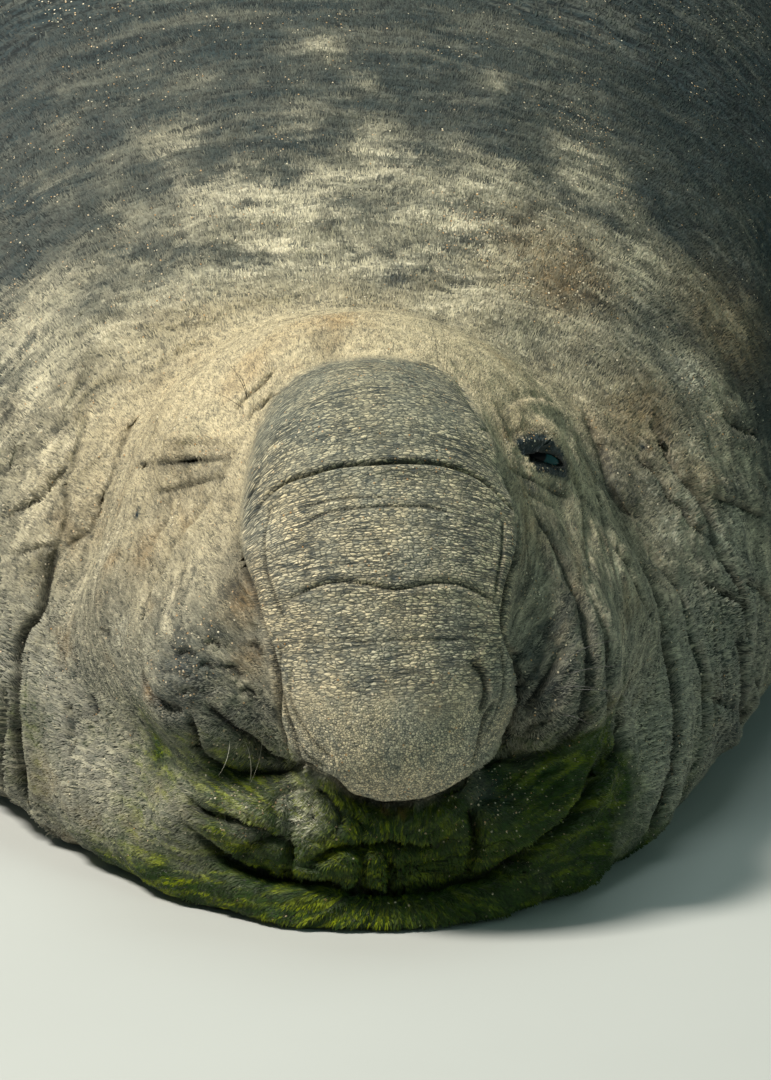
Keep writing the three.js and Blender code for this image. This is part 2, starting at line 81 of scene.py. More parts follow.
FLIPPERS = ("front_flipper_left", "front_flipper_right", "hind_flipper_left", "hind_flipper_right", "tail")
TRUNK = ("lower_jaw", "throat", "neck", "shoulders", "belly", "loin", "rump", "tail_stock")
HEAD = ("head", "proboscis")
EYES = ("eye_left", "eye_right")

MM = 0.001

Array = np.ndarray
Colour = tuple[float, ...]
Pixel = tuple[float, float]
Pixels = Sequence[Pixel]
Triple = tuple[float, float, float]


class Region(Enum):
    """The stretches of the coat, each a piece of its own."""

    FACE = "face"
    CHIN = "chin"
    NECK_LEFT = "neck_left"
    NECK_RIGHT = "neck_right"
    BACK = "back"
    REAR = "rear"
    FLIPPER = "flipper"


def smoothstep(values: Array, low: float, high: float) -> Array:
    """Rises smoothly from 0 at low to 1 at high."""
    share = np.clip((values - low) / (high - low), 0.0, 1.0)
    return share * share * (3.0 - 2.0 * share)


def bell(values: Array, width: float) -> Array:
    """A bell that is 1 at zero and falls off over the width."""
    return np.exp(-((values / width) ** 2))


def unit(vectors: Array) -> Array:
    """Vectors scaled to length 1."""
    return vectors / np.maximum(np.linalg.norm(vectors, axis=-1, keepdims=True), 1e-12)


def grain(points: Array, pitch: float, seed: int = 0) -> Array:
    """Smooth random values from -1 to 1 over space.

    Args:
        points: Places, one to a row.
        pitch: Distance between the lattice's random values.
        seed: Which lattice.

    Returns:
        One value for each place.
    """
    scaled = points / pitch + 37.0 * (seed + 1)
    cell = np.floor(scaled).astype(np.int64)
    share = scaled - cell
    share = share * share * (3.0 - 2.0 * share)
    total = np.zeros(len(points))
    for corner in range(8):
        step = np.array([corner & 1, corner >> 1 & 1, corner >> 2 & 1])
        x, y, z = (cell + step).T
        mixed = (x * 73856093) ^ (y * 19349663) ^ (z * 83492791) ^ (seed * 2654435)
        mixed = (mixed ^ (mixed >> 13)) * 1274126177
        value = ((mixed ^ (mixed >> 16)) & 0xFFFF) / 32767.5 - 1.0
        weight = np.prod(np.where(step, share, 1.0 - share), axis=1)
        total += value * weight
    return total


def layered(points: Array, pitch: float, seed: int = 0, layers: int = 3) -> Array:
    """Grain with finer layers added, each at half the pitch and half the height."""
    return sum(grain(points, pitch / 2**i, seed + i) / 2**i for i in range(layers))


@dataclass
class Surface:
    """A triangle mesh held as arrays, so that all its points move at once."""

    points: Array
    triangles: Array

    @classmethod
    def of_mesh(cls, mesh: Mesh) -> "Surface":
        """Reads a mesh and cuts its faces into triangles.

        Args:
            mesh: The mesh.

        Returns:
            Its surface.
        """
        points = np.empty(len(mesh.vertices) * 3, np.float32)
        mesh.vertices.foreach_get("co", points)
        mesh.calc_loop_triangles()
        triangles = np.empty(len(mesh.loop_triangles) * 3, np.int32)
        mesh.loop_triangles.foreach_get("vertices", triangles)
        return cls(points.reshape(-1, 3).astype(float), triangles.reshape(-1, 3).astype(np.int64))

    @classmethod
    def of_nodes(cls, names: Sequence[str], grow: float) -> "Surface":
        """Gathers the solids of several nodes.

        Args:
            names: The nodes.
            grow: How far each one grows.

        Returns:
            All their shells.
        """
        parts = []
        for name in names:
            part = cls.of_mesh(frame["nodes"][name].data)
            part.points += grow * part.normals()
            parts.append(part)
        return cls.joined(parts)

    @classmethod
    def joined(cls, parts: Sequence["Surface"]) -> "Surface":
        """All the parts in one, still as separate shells.

        Args:
            parts: The surfaces.

        Returns:
            One surface.
        """
        starts = np.cumsum([0] + [len(part.points) for part in parts[:-1]])
        triangles = [part.triangles + start for part, start in zip(parts, starts)]
        return cls(np.concatenate([part.points for part in parts]), np.concatenate(triangles))

    def mesh(self, name: str) -> Mesh:
        """A smooth-shaded Blender mesh of the surface.

        Args:
            name: The mesh's name.

        Returns:
            The mesh.
        """
        made = bpy.data.meshes.new(name)
        made.vertices.add(len(self.points))
        made.vertices.foreach_set("co", self.points.astype(np.float32).ravel())
        made.loops.add(self.triangles.size)
        made.loops.foreach_set("vertex_index", self.triangles.astype(np.int32).ravel())
        made.polygons.add(len(self.triangles))
        made.polygons.foreach_set("loop_start", np.arange(0, self.triangles.size, 3, dtype=np.int32))
        made.update(calc_edges=True)
        made.polygons.foreach_set("use_smooth", np.ones(len(self.triangles), bool))
        return made

    def object(self, name: str) -> Object:
        """A linked object with the surface as its mesh.

        Args:
            name: The object's name.

        Returns:
            The object.
        """
        made = bpy.data.objects.new(name, self.mesh(name))
        bpy.context.collection.objects.link(made)
        return made

    def edges(self) -> Array:
        """Lists each edge once.

        Returns:
            Two point numbers to a row.
        """
        corners = self.triangles
        pairs = np.concatenate([corners[:, [0, 1]], corners[:, [1, 2]], corners[:, [2, 0]]])
        pairs.sort(axis=1)
        count = len(self.points)
        codes = np.unique(pairs[:, 0] * count + pairs[:, 1])
        return np.stack([codes // count, codes % count], axis=1)

    def face_normals(self) -> Array:
        """The normal of each triangle, as long as twice its area."""
        a, b, c = (self.points[self.triangles[:, i]] for i in range(3))
        return np.cross(b - a, c - a)

    def normals(self) -> Array:
        """The normals at the points.

        Returns:
            One unit normal to a row.
        """
        faces = self.face_normals()
        total = np.empty_like(self.points)
        for axis in range(3):
            spread = np.repeat(faces[:, axis], 3)
            total[:, axis] = np.bincount(self.triangles.ravel(), spread, len(self.points))
        return unit(total)

    def middles(self) -> Array:
        """The middle of each triangle."""
        return self.points[self.triangles].mean(axis=1)

    def smooth(self, share: Array, passes: int) -> None:
        """Moves each point towards the mean of its neighbours.

        Args:
            share: How much of the way each point goes in one pass.
            passes: How many times.
        """
        edges = self.edges()
        count = len(self.points)
        degree = np.maximum(np.bincount(edges.ravel(), minlength=count), 1)
        starts, ends = edges[:, 0], edges[:, 1]
        for _ in range(passes):
            for axis in range(3):
                column = self.points[:, axis]
                total = np.bincount(starts, column[ends], count) + np.bincount(ends, column[starts], count)
                column += share * (total / degree - column)

    def refine(self, wanted: Array) -> None:
        """Cuts the wanted triangles into four, and their neighbours so that no edge is left open.

        Args:
            wanted: Which triangles, as booleans.
        """
        corners, count = self.triangles, len(self.points)
        pairs = np.stack([corners, np.roll(corners, -1, axis=1)], axis=2).reshape(-1, 2)
        pairs.sort(axis=1)
        codes, place = np.unique(pairs[:, 0] * count + pairs[:, 1], return_inverse=True)
        place = place.reshape(-1, 3)
        split = np.zeros(len(codes), bool)
        split[place[wanted].ravel()] = True
        ends = np.stack([codes[split] // count, codes[split] % count], axis=1)
        number = np.full(len(codes), -1, np.int64)
        number[split] = count + np.arange(split.sum())
        middle = number[place]
        cuts = (middle >= 0).sum(axis=1)
        parts = [corners[cuts == 0]]
        a, b, c = corners[cuts == 3].T
        p, q, r = middle[cuts == 3].T
        parts += [np.stack(three, axis=1) for three in ((a, p, r), (p, b, q), (r, q, c), (p, q, r))]
        def cut(edges: Array) -> Array:
            """The first edge with a new point."""
            return np.argmax(edges >= 0, axis=1)

        def after_whole(edges: Array) -> Array:
            """The edge after the one that is left whole."""
            return np.argmax(edges < 0, axis=1) + 1

        (a, b, c), (p, _, _) = self._turned(corners, middle, cuts == 1, cut)
        parts += [np.stack(three, axis=1) for three in ((a, p, c), (p, b, c))]
        (a, b, c), (p, q, _) = self._turned(corners, middle, cuts == 2, after_whole)
        parts += [np.stack(three, axis=1) for three in ((p, b, q), (a, p, q), (a, q, c))]
        self.points = np.concatenate([self.points, self.points[ends].mean(axis=1)])
        self.triangles = np.concatenate(parts)

    @staticmethod
    def _turned(
        corners: Array, middle: Array, rows: Array, first: Callable[[Array], Array]
    ) -> tuple[Array, Array]:
        """Turns some triangles round.

        Args:
            corners: The point numbers of all triangles.
            middle: The new points on their edges, -1 for none.
            rows: Which triangles are turned.
            first: Finds the corner that comes first.

        Returns:
            The turned corners and edge points, one triangle to a column.
        """
        turn = (np.arange(3)[None, :] + first(middle[rows])[:, None]) % 3
        return (
            np.take_along_axis(corners[rows], turn, axis=1).T,
            np.take_along_axis(middle[rows], turn, axis=1).T,
        )

    def keep_largest(self) -> None:
        """Drops every shell but the one with the most points."""
        edges = self.edges()
        label = np.arange(len(self.points))
        while True:
            low = np.minimum(label[edges[:, 0]], label[edges[:, 1]])
            fresh = label.copy()
            np.minimum.at(fresh, edges[:, 0], low)
            np.minimum.at(fresh, edges[:, 1], low)
            fresh = fresh[fresh]
            if np.array_equal(fresh, label):
                break
            label = fresh
        keep = label == np.bincount(label).argmax()
        number = np.cumsum(keep) - 1
        self.triangles = number[self.triangles[keep[self.triangles[:, 0]]]]
        self.points = self.points[keep]

    def tree(self) -> BVHTree:
        """A tree for casting rays at the surface."""
        return BVHTree.FromPolygons(self.points.tolist(), self.triangles.tolist(), all_triangles=True)


def remeshed(surface: Surface, voxel: float) -> Surface:
    """An even skin over the shells of a surface, one over those that meet.

    Args:
        surface: The shells.
        voxel: The size of the skin's squares.

    Returns:
        The skin.
    """
    piece = surface.object("remesh")
    modifier = piece.modifiers.new("voxels", "REMESH")
    modifier.mode = "VOXEL"
    modifier.voxel_size = voxel
    shape = bpy.data.meshes.new_from_object(piece.evaluated_get(bpy.context.evaluated_depsgraph_get()))
    skin = Surface.of_mesh(shape)
    bpy.data.objects.remove(piece)
    bpy.data.meshes.remove(shape)
    return skin


def fused(first: Surface, second: Surface) -> Surface:
    """The outer skin of two closed surfaces that cross.

    Args:
        first: One surface.
        second: The other.

    Returns:
        The skin.
    """
    base, other = first.object("fuse_base"), second.object("fuse_other")
    modifier = base.modifiers.new("join", "BOOLEAN")
    modifier.operation, modifier.solver, modifier.object = "UNION", "MANIFOLD", other
    shape = bpy.data.meshes.new_from_object(base.evaluated_get(bpy.context.evaluated_depsgraph_get()))
    skin = Surface.of_mesh(shape)
    for piece in (base, other):
        bpy.data.objects.remove(piece)
    bpy.data.meshes.remove(shape)
    skin.keep_largest()
    return skin


@dataclass(frozen=True)
class Viewpoint:
    """The camera, low in front of the animal and a little to its right side."""

    azimuth: float = -5.0
    elevation: float = 12.5
    distance: float = 5.0
    frame_height: float = 1.0
    aim: Triple = (0.0052, 0.15, 0.3368)  # x, depth behind the chin, height
    sensor: float = 36.0
    image: tuple[int, int] = (771, 1080)

    def place(self) -> Object:
        """Makes the camera and takes it into use.

        Returns:
            The camera.
        """
        lens = bpy.data.cameras.new("camera")
        lens.sensor_width = self.sensor
        lens.lens = self.sensor * self.distance / self.frame_height
        lens.clip_end = 60.0
        camera = bpy.data.objects.new("camera", lens)
        camera.location = self.eye
        camera.rotation_euler = (-self.back).to_track_quat("-Z", "Y").to_euler()
        bpy.context.collection.objects.link(camera)
        bpy.context.scene.camera = camera
        return camera

    @property
    def metre_per_pixel(self) -> float:
        """The size of a pixel at the animal's face."""
        return self.frame_height / self.image[1]

    @property
    def back(self) -> Vector:
        """The direction from the animal to the camera."""
        turn, rise = math.radians(self.azimuth), math.radians(self.elevation)
        return Vector((math.sin(turn) * math.cos(rise), -math.cos(turn) * math.cos(rise), math.sin(rise)))

    @property
    def eye(self) -> Vector:
        """Where the camera stands."""
        x, depth, height = self.aim
        return Vector((x, CHIN_Y + depth, height)) + self.distance * self.back

    @property
    def axes(self) -> tuple[Vector, Vector]:
        """The directions to the right and up in the picture."""
        right = Vector((0.0, 0.0, 1.0)).cross(self.back).normalized()
        return right, self.back.cross(right)

    def ray(self, x: float, y: float) -> Vector:
        """The direction from the camera through a pixel.

        Args:
            x: How far across the pixel is.
            y: How far down.

        Returns:
            A direction of length 1.
        """
        right, up = self.axes
        width, height = self.image
        scale = self.frame_height / self.distance / height
        return (-self.back + right * (x - width / 2) * scale + up * (height / 2 - y) * scale).normalized()

    def pixels(self, points: Array) -> Array:
        """Where points show in the picture.

        Args:
            points: Places, one to a row.

        Returns:
            Pixel x and y, one to a row.
        """
        right, up = self.axes
        width, height = self.image
        scale = self.frame_height / self.distance / height
        away = points - np.array(self.eye)
        depth = away @ np.array(-self.back)
        across = away @ np.array(right) / depth / scale + width / 2
        down = height / 2 - away @ np.array(up) / depth / scale
        return np.stack([across, down], axis=1)

    def cast(self, tree: BVHTree, route: Pixels, step: float = 3.0) -> Array:
        """Lays a pixel route on the surface, through a smooth curve.

        Args:
            tree: The surface.
            route: Pixels along the route.
            step: Pixels between two laid points.

        Returns:
            Points on the surface, one to a row.
        """
        laid = []
        for x, y in smooth_route(route, step):
            hit = tree.ray_cast(self.eye, self.ray(x, y))[0]
            if hit is not None and (not laid or (hit - laid[-1]).length < 0.08):
                laid.append(hit)
        return np.array(laid).reshape(-1, 3)


VIEW = Viewpoint()


def smooth_route(route: Pixels, step: float) -> Array:
    """A curve through the route's points, at even steps.

    Args:
        route: Pixels along the route.
        step: Pixels between two points of the curve.

    Returns:
        Pixels along the curve.
    """
    knots = np.array(route, float)
    padded = np.concatenate([[2 * knots[0] - knots[1]], knots, [2 * knots[-1] - knots[-2]]])
    pieces = []
    for before, start, end, after in zip(padded, padded[1:], padded[2:], padded[3:]):
        count = max(1, int(np.linalg.norm(end - start) / step))
        t = (np.arange(count) / count)[:, None]
        square = 2 * before - 5 * start + 4 * end - after
        cube = 3 * start - before - 3 * end + after
        pieces.append(0.5 * (2 * start + (end - before) * t + square * t**2 + cube * t**3))
    return np.concatenate([*pieces, knots[-1:]])


def near_any(points: Array, marks: Array, cell: float) -> Array:
    """Finds the points in or next to a cell that holds a mark.

    Args:
        points: Places that are tested.
        marks: Places to be near.
        cell: The size of a cell.

    Returns:
        Whether each point is near.
    """
    def code(cells: Array) -> Array:
        """One number for each cell."""
        x, y, z = (cells + 4096).T
        return (x * 8192 + y) * 8192 + z

    around = np.stack(np.meshgrid(*[(-1, 0, 1)] * 3), axis=-1).reshape(-1, 3)
    marked = np.floor(marks / cell).astype(np.int64)[:, None, :] + around[None, :, :]
    return np.isin(code(np.floor(points / cell).astype(np.int64)), np.unique(code(marked.reshape(-1, 3))))


def box_distance(points: Array, node: str) -> Array:
    """How far points are from the box of a node, 0 inside it."""
    low, high = (np.array(corner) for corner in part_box(node))
    return np.linalg.norm(np.maximum(np.maximum(low - points, points - high), 0.0), axis=1)


def ellipsoid(points: Array, centre: Sequence[float], radii: Sequence[float]) -> Array:
    """Distance from a centre, 1 on the ellipsoid. The centre's y counts back from the chin."""
    x, depth, height = centre
    return np.linalg.norm((points - np.array([x, CHIN_Y + depth, height])) / np.array(radii), axis=1)


def girdle_depth(points: Array, lean: float = 1.15, reach: float = 0.33) -> Array:
    """How far behind the chin the rings of the trunk meet the ground.

    Args:
        points: Places on the body.
        lean: How far the rings lean back at the chin, to a metre of height.
        reach: How soon they stand upright behind it.

    Returns:
        A depth for each place.
    """
    behind = points[:, 1] - CHIN_Y
    depth = behind.copy()
    for _ in range(14):
        slope = lean * np.exp(-np.clip(depth, 0.0, None) / reach)
        depth = 0.5 * (depth + behind - slope * points[:, 2])
    return depth


def lie_of(points: Array, axis_height: float = 0.05, girth: float = 0.45) -> Array:
    """Coordinates along and round the body.

    Args:
        points: Places on the body.
        axis_height: The height of the axis that they turn round.
        girth: The radius that turns angles into metres.

    Returns:
        Metres back from the muzzle, round from the spine and up, one place to a row.
    """
    depth = girdle_depth(points)
    around = girth * np.arctan2(points[:, 0], points[:, 2] - axis_height)
    return np.stack([depth, around, points[:, 2]], axis=1)


def comb_of(points: Array, normals: Array) -> Array:
    """The way the coat lies: back from the muzzle, along the skin.

    Args:
        points: Places on the skin.
        normals: The skin's normals there.

    Returns:
        A direction of length 1 for each place.
    """
    muzzle = np.array([0.0, CHIN_Y - 0.02, 0.26])
    away = unit(points - muzzle)
    away[:, 1] += 0.5
    along = away - normals * np.sum(away * normals, axis=1, keepdims=True)
    return unit(along)


@dataclass(frozen=True)
class Crease:
    """A fold traced on the photograph and pressed into the skin.

    Attributes:
        route: Pixels of the photograph along the fold.
        depth: How deep it is, in millimetres like all its sizes.
        width: Its half width.
        left: How far the skin swells on the left of the route.
        right: How far it swells on the right.
        reach: How far off the fold each swelling is highest.
        dark: How much painted shade it lays along the fold, from 0 to 1.
    """

    route: Pixels
    depth: float = 4.0
    width: float = 4.0
    left: float = 0.0
    right: float = 0.0
    reach: float = 14.0
    dark: float = 1.0


NOSE_OUTLINE = (
    (300, 372), (330, 360), (385, 355), (435, 362), (465, 385), (485, 420), (500, 460), (513, 500),
    (519, 545), (515, 590), (510, 630), (516, 670), (513, 715), (497, 745), (470, 775), (445, 795),
    (420, 804), (385, 806), (355, 798), (330, 780), (300, 765), (282, 735), (272, 700), (264, 650),
    (252, 600), (242, 560), (240, 510), (246, 465), (255, 430), (272, 395))
# outline of the left eye's dark lids, painted partly as shade
LEFT_LID_SKIN = (
    (500, 456), (507, 446), (518, 438), (530, 433), (543, 433), (554, 440), (562, 450), (568, 464),
    (568, 481), (556, 479), (545, 475), (532, 471), (518, 467), (507, 461))

NOSE_CREASES = (
    Crease(
        ((252, 520), (264, 500), (285, 483), (310, 474), (340, 466), (380, 463), (400, 462), (430, 463),
         (455, 468), (475, 477), (490, 488), (505, 505), (516, 525), (517, 545)),
        7.5, 2.4, left=1.5, right=3.5, reach=9),
    Crease(
        ((280, 605), (297, 595), (315, 587), (335, 582), (360, 583), (385, 588), (400, 589), (430, 583),
         (455, 583), (475, 590), (490, 600), (500, 612)), 2.8, 1.8, left=1, right=1.5, reach=7, dark=0.8),
    Crease(((300, 643), (340, 640), (370, 642), (400, 640), (440, 640), (470, 640)), 1.2, 1.6, dark=0.5),
    Crease(
        ((300, 528), (320, 515), (345, 509), (380, 506), (400, 506), (430, 507), (455, 515)), 1.8, 1.6),
    Crease(((300, 508), (330, 500), (360, 497), (390, 497)), 1.5, 1.4),
    Crease(
        ((318, 770), (335, 783), (356, 800), (385, 808), (418, 806), (447, 796), (470, 778), (484, 765)),
        14, 6.5, right=2, reach=12),
    # fine folds beside the edges of the proboscis
    Crease(((272, 505), (264, 535), (266, 570), (276, 600), (286, 625)), 2.5, 2, dark=0.8),
    Crease(((284, 640), (281, 670), (284, 700), (294, 728), (310, 752), (328, 768)), 2.8, 2, dark=0.9),
    Crease(((293, 665), (292, 695), (302, 722), (318, 745), (336, 762)), 2, 1.8, dark=0.7),
    Crease(((503, 520), (502, 548), (497, 575), (493, 600)), 2.5, 2, dark=0.8),
    Crease(((497, 640), (502, 668), (501, 695), (492, 722), (478, 748)), 2.5, 2, dark=0.8),
    Crease(((470, 660), (482, 672), (485, 690), (478, 715)), 4, 4, left=2),
    # grooves where the proboscis meets the cheeks
    Crease(
        ((262, 470), (247, 505), (240, 545), (245, 570), (253, 590), (258, 610), (265, 635), (272, 655),
         (277, 680), (278, 700), (280, 720), (290, 745), (305, 765), (335, 780), (350, 795), (360, 800)),
        9, 4.5, left=3, reach=13),
    Crease(((285, 690), (290, 720), (300, 745), (310, 765)), 4, 3.5, left=2),
    Crease(
        ((500, 470), (512, 505), (517, 545), (513, 570), (507, 590), (503, 620), (507, 640), (512, 660),
         (516, 690), (513, 710), (500, 735), (490, 752), (470, 775), (455, 787), (445, 795)),
        9, 4.5, right=3, reach=13),
    Crease(((498, 700), (488, 712), (482, 730), (478, 748), (470, 765)), 6, 4.5, right=3),
)

FACE_CREASES = (
    # folds from the inner corners of the eyes up over the root of the proboscis
    Crease(((275, 370), (262, 385), (245, 400), (236, 412)), 4.5, 2.8, left=3, right=1, dark=0.8),
    Crease(((282, 392), (270, 400), (258, 410), (248, 420)), 4, 3, left=3, right=2, dark=0.8),
    Crease(((236, 450), (226, 470), (216, 490), (205, 505)), 3, 5, left=2, right=1, dark=0.2),
    Crease(((205, 505), (175, 545), (160, 575), (148, 600), (142, 625)), 5, 8, left=5, dark=0.25),
    Crease(
        ((142, 622), (140, 640), (141, 655), (146, 675), (155, 695), (165, 705), (185, 712)),
        7, 6, left=6, right=2, reach=18, dark=0.7),
    Crease(
        ((460, 385), (475, 415), (490, 440), (505, 465), (520, 490), (535, 515), (550, 540), (560, 560),
         (570, 585), (580, 610), (586, 640), (588, 660), (586, 690), (578, 715), (560, 735), (540, 750),
         (510, 757), (492, 757)), 8, 6, right=6, reach=20, dark=0.8),
    # edges of the upper lips over the mouth
    Crease(((205, 702), (215, 712), (235, 728), (255, 740), (275, 752), (300, 762)), 6, 4, left=5),
    Crease(
        ((190, 712), (195, 735), (205, 755), (225, 768), (250, 770), (280, 768), (310, 762), (325, 765)),
        8, 5, left=4),
    Crease(
        ((468, 775), (495, 757), (520, 758), (545, 752), (565, 740), (580, 725), (590, 700)),
        8, 5, left=4),
    Crease(((562, 652), (548, 672), (535, 692), (520, 712)), 6, 4.5, left=3, right=3),
    Crease(((572, 668), (558, 690), (542, 712), (522, 735)), 6, 4.5, left=3, right=3),
    Crease(((582, 690), (568, 712), (550, 732), (528, 748)), 6, 4.5, left=3, right=3),
    Crease(((545, 650), (532, 672), (518, 690)), 4, 4, left=2, right=2),
    # cheek and temple folds, the animal's right side
    Crease(
        ((140, 412), (133, 422), (125, 440), (119, 455), (113, 475), (103, 495), (98, 515), (90, 532),
         (75, 542), (62, 555)), 3.2, 3, left=2, right=1.5, dark=0.55),
    Crease(
        ((90, 415), (83, 432), (77, 450), (72, 470), (66, 485), (67, 505), (66, 525), (62, 540)),
        3.2, 3, left=2, dark=0.55),
    Crease(((70, 465), (55, 483), (42, 498), (20, 510), (5, 520)), 3.6, 3, left=1.5, right=2, dark=0.8),
    Crease(((60, 545), (35, 550), (10, 557)), 2.6, 2.6, left=1.5, dark=0.7),
    Crease(
        ((62, 540), (50, 575), (42, 612), (32, 625), (24, 640), (20, 665), (20, 700), (21, 740),
         (25, 770), (26, 800), (24, 825)), 8, 5, left=5, right=3, reach=20),
    # cheek, temple and jowl folds, the animal's left side
    Crease(((570, 470), (578, 500), (583, 530), (588, 560), (590, 590)), 3, 3, left=2, right=2, dark=0.6),
    Crease(
        ((585, 410), (592, 430), (600, 450), (605, 470), (610, 490), (620, 505), (640, 520)),
        4.5, 5, left=3, dark=0.7),
    Crease(
        ((590, 470), (597, 490), (602, 515), (608, 540), (618, 555), (632, 570)),
        3, 3.5, left=2, dark=0.6),
    Crease(
        ((650, 425), (660, 440), (668, 460), (678, 478), (690, 490), (700, 505), (708, 525), (712, 545),
         (720, 560), (730, 575), (740, 600), (745, 640)), 4.8, 3.6, left=3, right=2, reach=16, dark=0.9),
    Crease(((660, 480), (668, 495), (680, 510), (690, 525), (705, 538)), 4, 3, left=1.5),
    Crease(((700, 495), (730, 503), (750, 512), (765, 520)), 4.5, 3.2, left=3),
    Crease(((700, 580), (720, 592), (735, 605), (745, 630)), 4.5, 3.5, left=2),
    Crease(
        ((590, 590), (600, 615), (605, 640), (609, 680), (608, 720), (600, 750), (585, 780), (570, 810),
         (555, 830)), 6, 5, left=4, right=3, reach=20, dark=0.7),
    Crease(
        ((640, 560), (655, 600), (665, 650), (672, 690), (674, 720), (672, 760), (665, 790), (655, 815),
         (640, 845), (615, 875)), 7, 5, left=5, right=4, reach=22),
    Crease(((735, 640), (738, 700), (738, 750), (735, 790)), 10, 6, left=5, right=6, reach=20),
    # smaller folds on the animal's left side
    Crease(
        ((635, 452), (646, 466), (659, 479), (669, 498), (681, 509), (692, 526), (704, 539)),
        5, 3, left=3, right=2),
    Crease(((739, 582), (755, 587), (771, 604)), 5, 3.5, left=3),
    Crease(((715, 592), (729, 597), (739, 610), (744, 630), (748, 647), (747, 658)), 7, 4, right=5),
    Crease(((709, 702), (724, 704), (732, 719), (734, 736), (729, 750)), 7, 4, right=6),
    Crease(((729, 750), (734, 765), (732, 782), (724, 791)), 7, 4, right=5),
    Crease(((744, 663), (752, 679), (757, 699), (755, 710)), 5, 4, right=4),
    Crease(((721, 409), (729, 423), (744, 432), (761, 437)), 5, 3.5, right=3),
    Crease(((758, 480), (771, 492)), 4, 3.5),
    Crease(((613, 541), (628, 572), (640, 596), (652, 622)), 3, 3.5, left=2, right=2, dark=0.5),
    Crease(
        ((640, 541), (660, 570), (675, 592), (683, 615), (690, 650)), 2.5, 4, left=2, right=2, dark=0.3),
    Crease(
        ((690, 640), (700, 670), (703, 700), (700, 735), (690, 775)), 3.5, 5, left=3, right=2, dark=0.3),
    # smaller folds on its right side
    Crease(((0, 478), (8, 468), (16, 456), (22, 444)), 3, 5, dark=0.5),
    Crease(((25, 812), (39, 824), (54, 830), (60, 842)), 7, 5, left=3, right=4),
    Crease(((93, 694), (96, 705), (99, 716)), 4, 5, dark=0.8),
    Crease(((70, 705), (74, 722), (73, 742)), 3, 5, dark=0.6),
    Crease(((99, 634), (105, 631), (112, 635)), 3, 3),
    Crease(((0, 690), (8, 700), (6, 740), (4, 790)), 6, 7, left=4, right=4, dark=0.6),
    Crease(((117, 554), (132, 562), (150, 572)), 2, 4, dark=0.2),
    Crease(((170, 500), (166, 522), (152, 545), (141, 560)), 3, 5, left=2, dark=0.3),
)

FOLLICLES = (
    ((205, 645), (215, 642), (222, 650)), ((248, 645), (258, 648), (262, 658)),
    ((200, 668), (208, 664), (215, 672)), ((225, 668), (235, 668), (243, 678)),
    ((165, 675), (178, 674), (190, 680)), ((215, 705), (223, 700), (230, 705)),
    ((240, 692), (250, 690), (257, 698)), ((178, 655), (188, 652), (196, 658)),
    ((182, 694), (192, 690), (200, 696)), ((228, 722), (238, 718), (246, 723)),
    ((508, 650), (515, 655), (520, 664)), ((545, 638), (552, 642), (556, 650)),
    ((570, 645), (575, 650), (577, 660)), ((528, 668), (535, 672), (538, 682)),
    ((556, 668), (563, 674), (564, 684)), ((530, 700), (538, 704), (540, 712)))

CHIN_CREASES = (
    Crease(
        ((177, 818), (195, 832), (215, 848), (240, 865), (280, 877), (320, 882), (350, 888), (384, 891),
         (420, 889), (457, 880), (495, 870), (530, 848), (560, 825), (584, 796), (600, 765), (613, 749),
         (618, 700)), 11, 6, left=5, right=5, reach=16),
    # lobes of the lower lip between the nose and the long fold
    Crease(((237, 852), (252, 842), (272, 836), (290, 838)), 6, 4, left=3, right=4),
    Crease(((290, 836), (294, 856), (292, 876)), 10, 4, left=4, right=5, reach=11),
    Crease(
        ((293, 857), (312, 861), (325, 854), (340, 848), (358, 847), (380, 841), (406, 844), (430, 843),
         (452, 838)), 9, 4, left=4, right=5, reach=11),
    Crease(((357, 847), (361, 866), (358, 886)), 12, 4.5, left=5, right=5, reach=12),
    Crease(((382, 842), (385, 866), (388, 892)), 13, 5, left=5, right=5, reach=12),
    Crease(((468, 805), (474, 830), (472, 852), (466, 874)), 8, 4.5, left=4, right=5, reach=12),
    Crease(
        ((312, 788), (326, 794), (338, 808), (341, 824), (330, 838), (310, 845), (292, 842)),
        5.5, 3.8, right=2.5, reach=12),
    Crease(((272, 812), (278, 798), (292, 790), (312, 788)), 2.5, 4, right=2, dark=0.4),
    Crease(((190, 800), (206, 812), (232, 820), (256, 826), (278, 830)), 7, 5, left=5, right=4),
    Crease(((352, 812), (362, 826), (360, 842)), 5, 4, left=3, right=3),
    # the pale lump is flattened, the broadest lobe and the lobe beside it are raised
    Crease(((284, 812), (300, 814), (318, 818)), 5, 16, dark=0.0),
    Crease(((402, 866), (428, 866), (452, 860)), -5.5, 17, dark=0.0),
    Crease(((500, 800), (497, 825), (492, 850)), -4, 18, dark=0.0),
)


@dataclass(frozen=True)
class Lids:
    """The opening between the lids of one eye, traced on the photograph, with the folds round it."""

    side: str
    upper: Pixels
    lower: Pixels
    folds: tuple[Crease, ...]
    sunk: float = 0.0035  # how far the skin inside the opening is pushed under the eyeball's surface
    rim: float = 0.0022
    rim_width: float = 0.0045


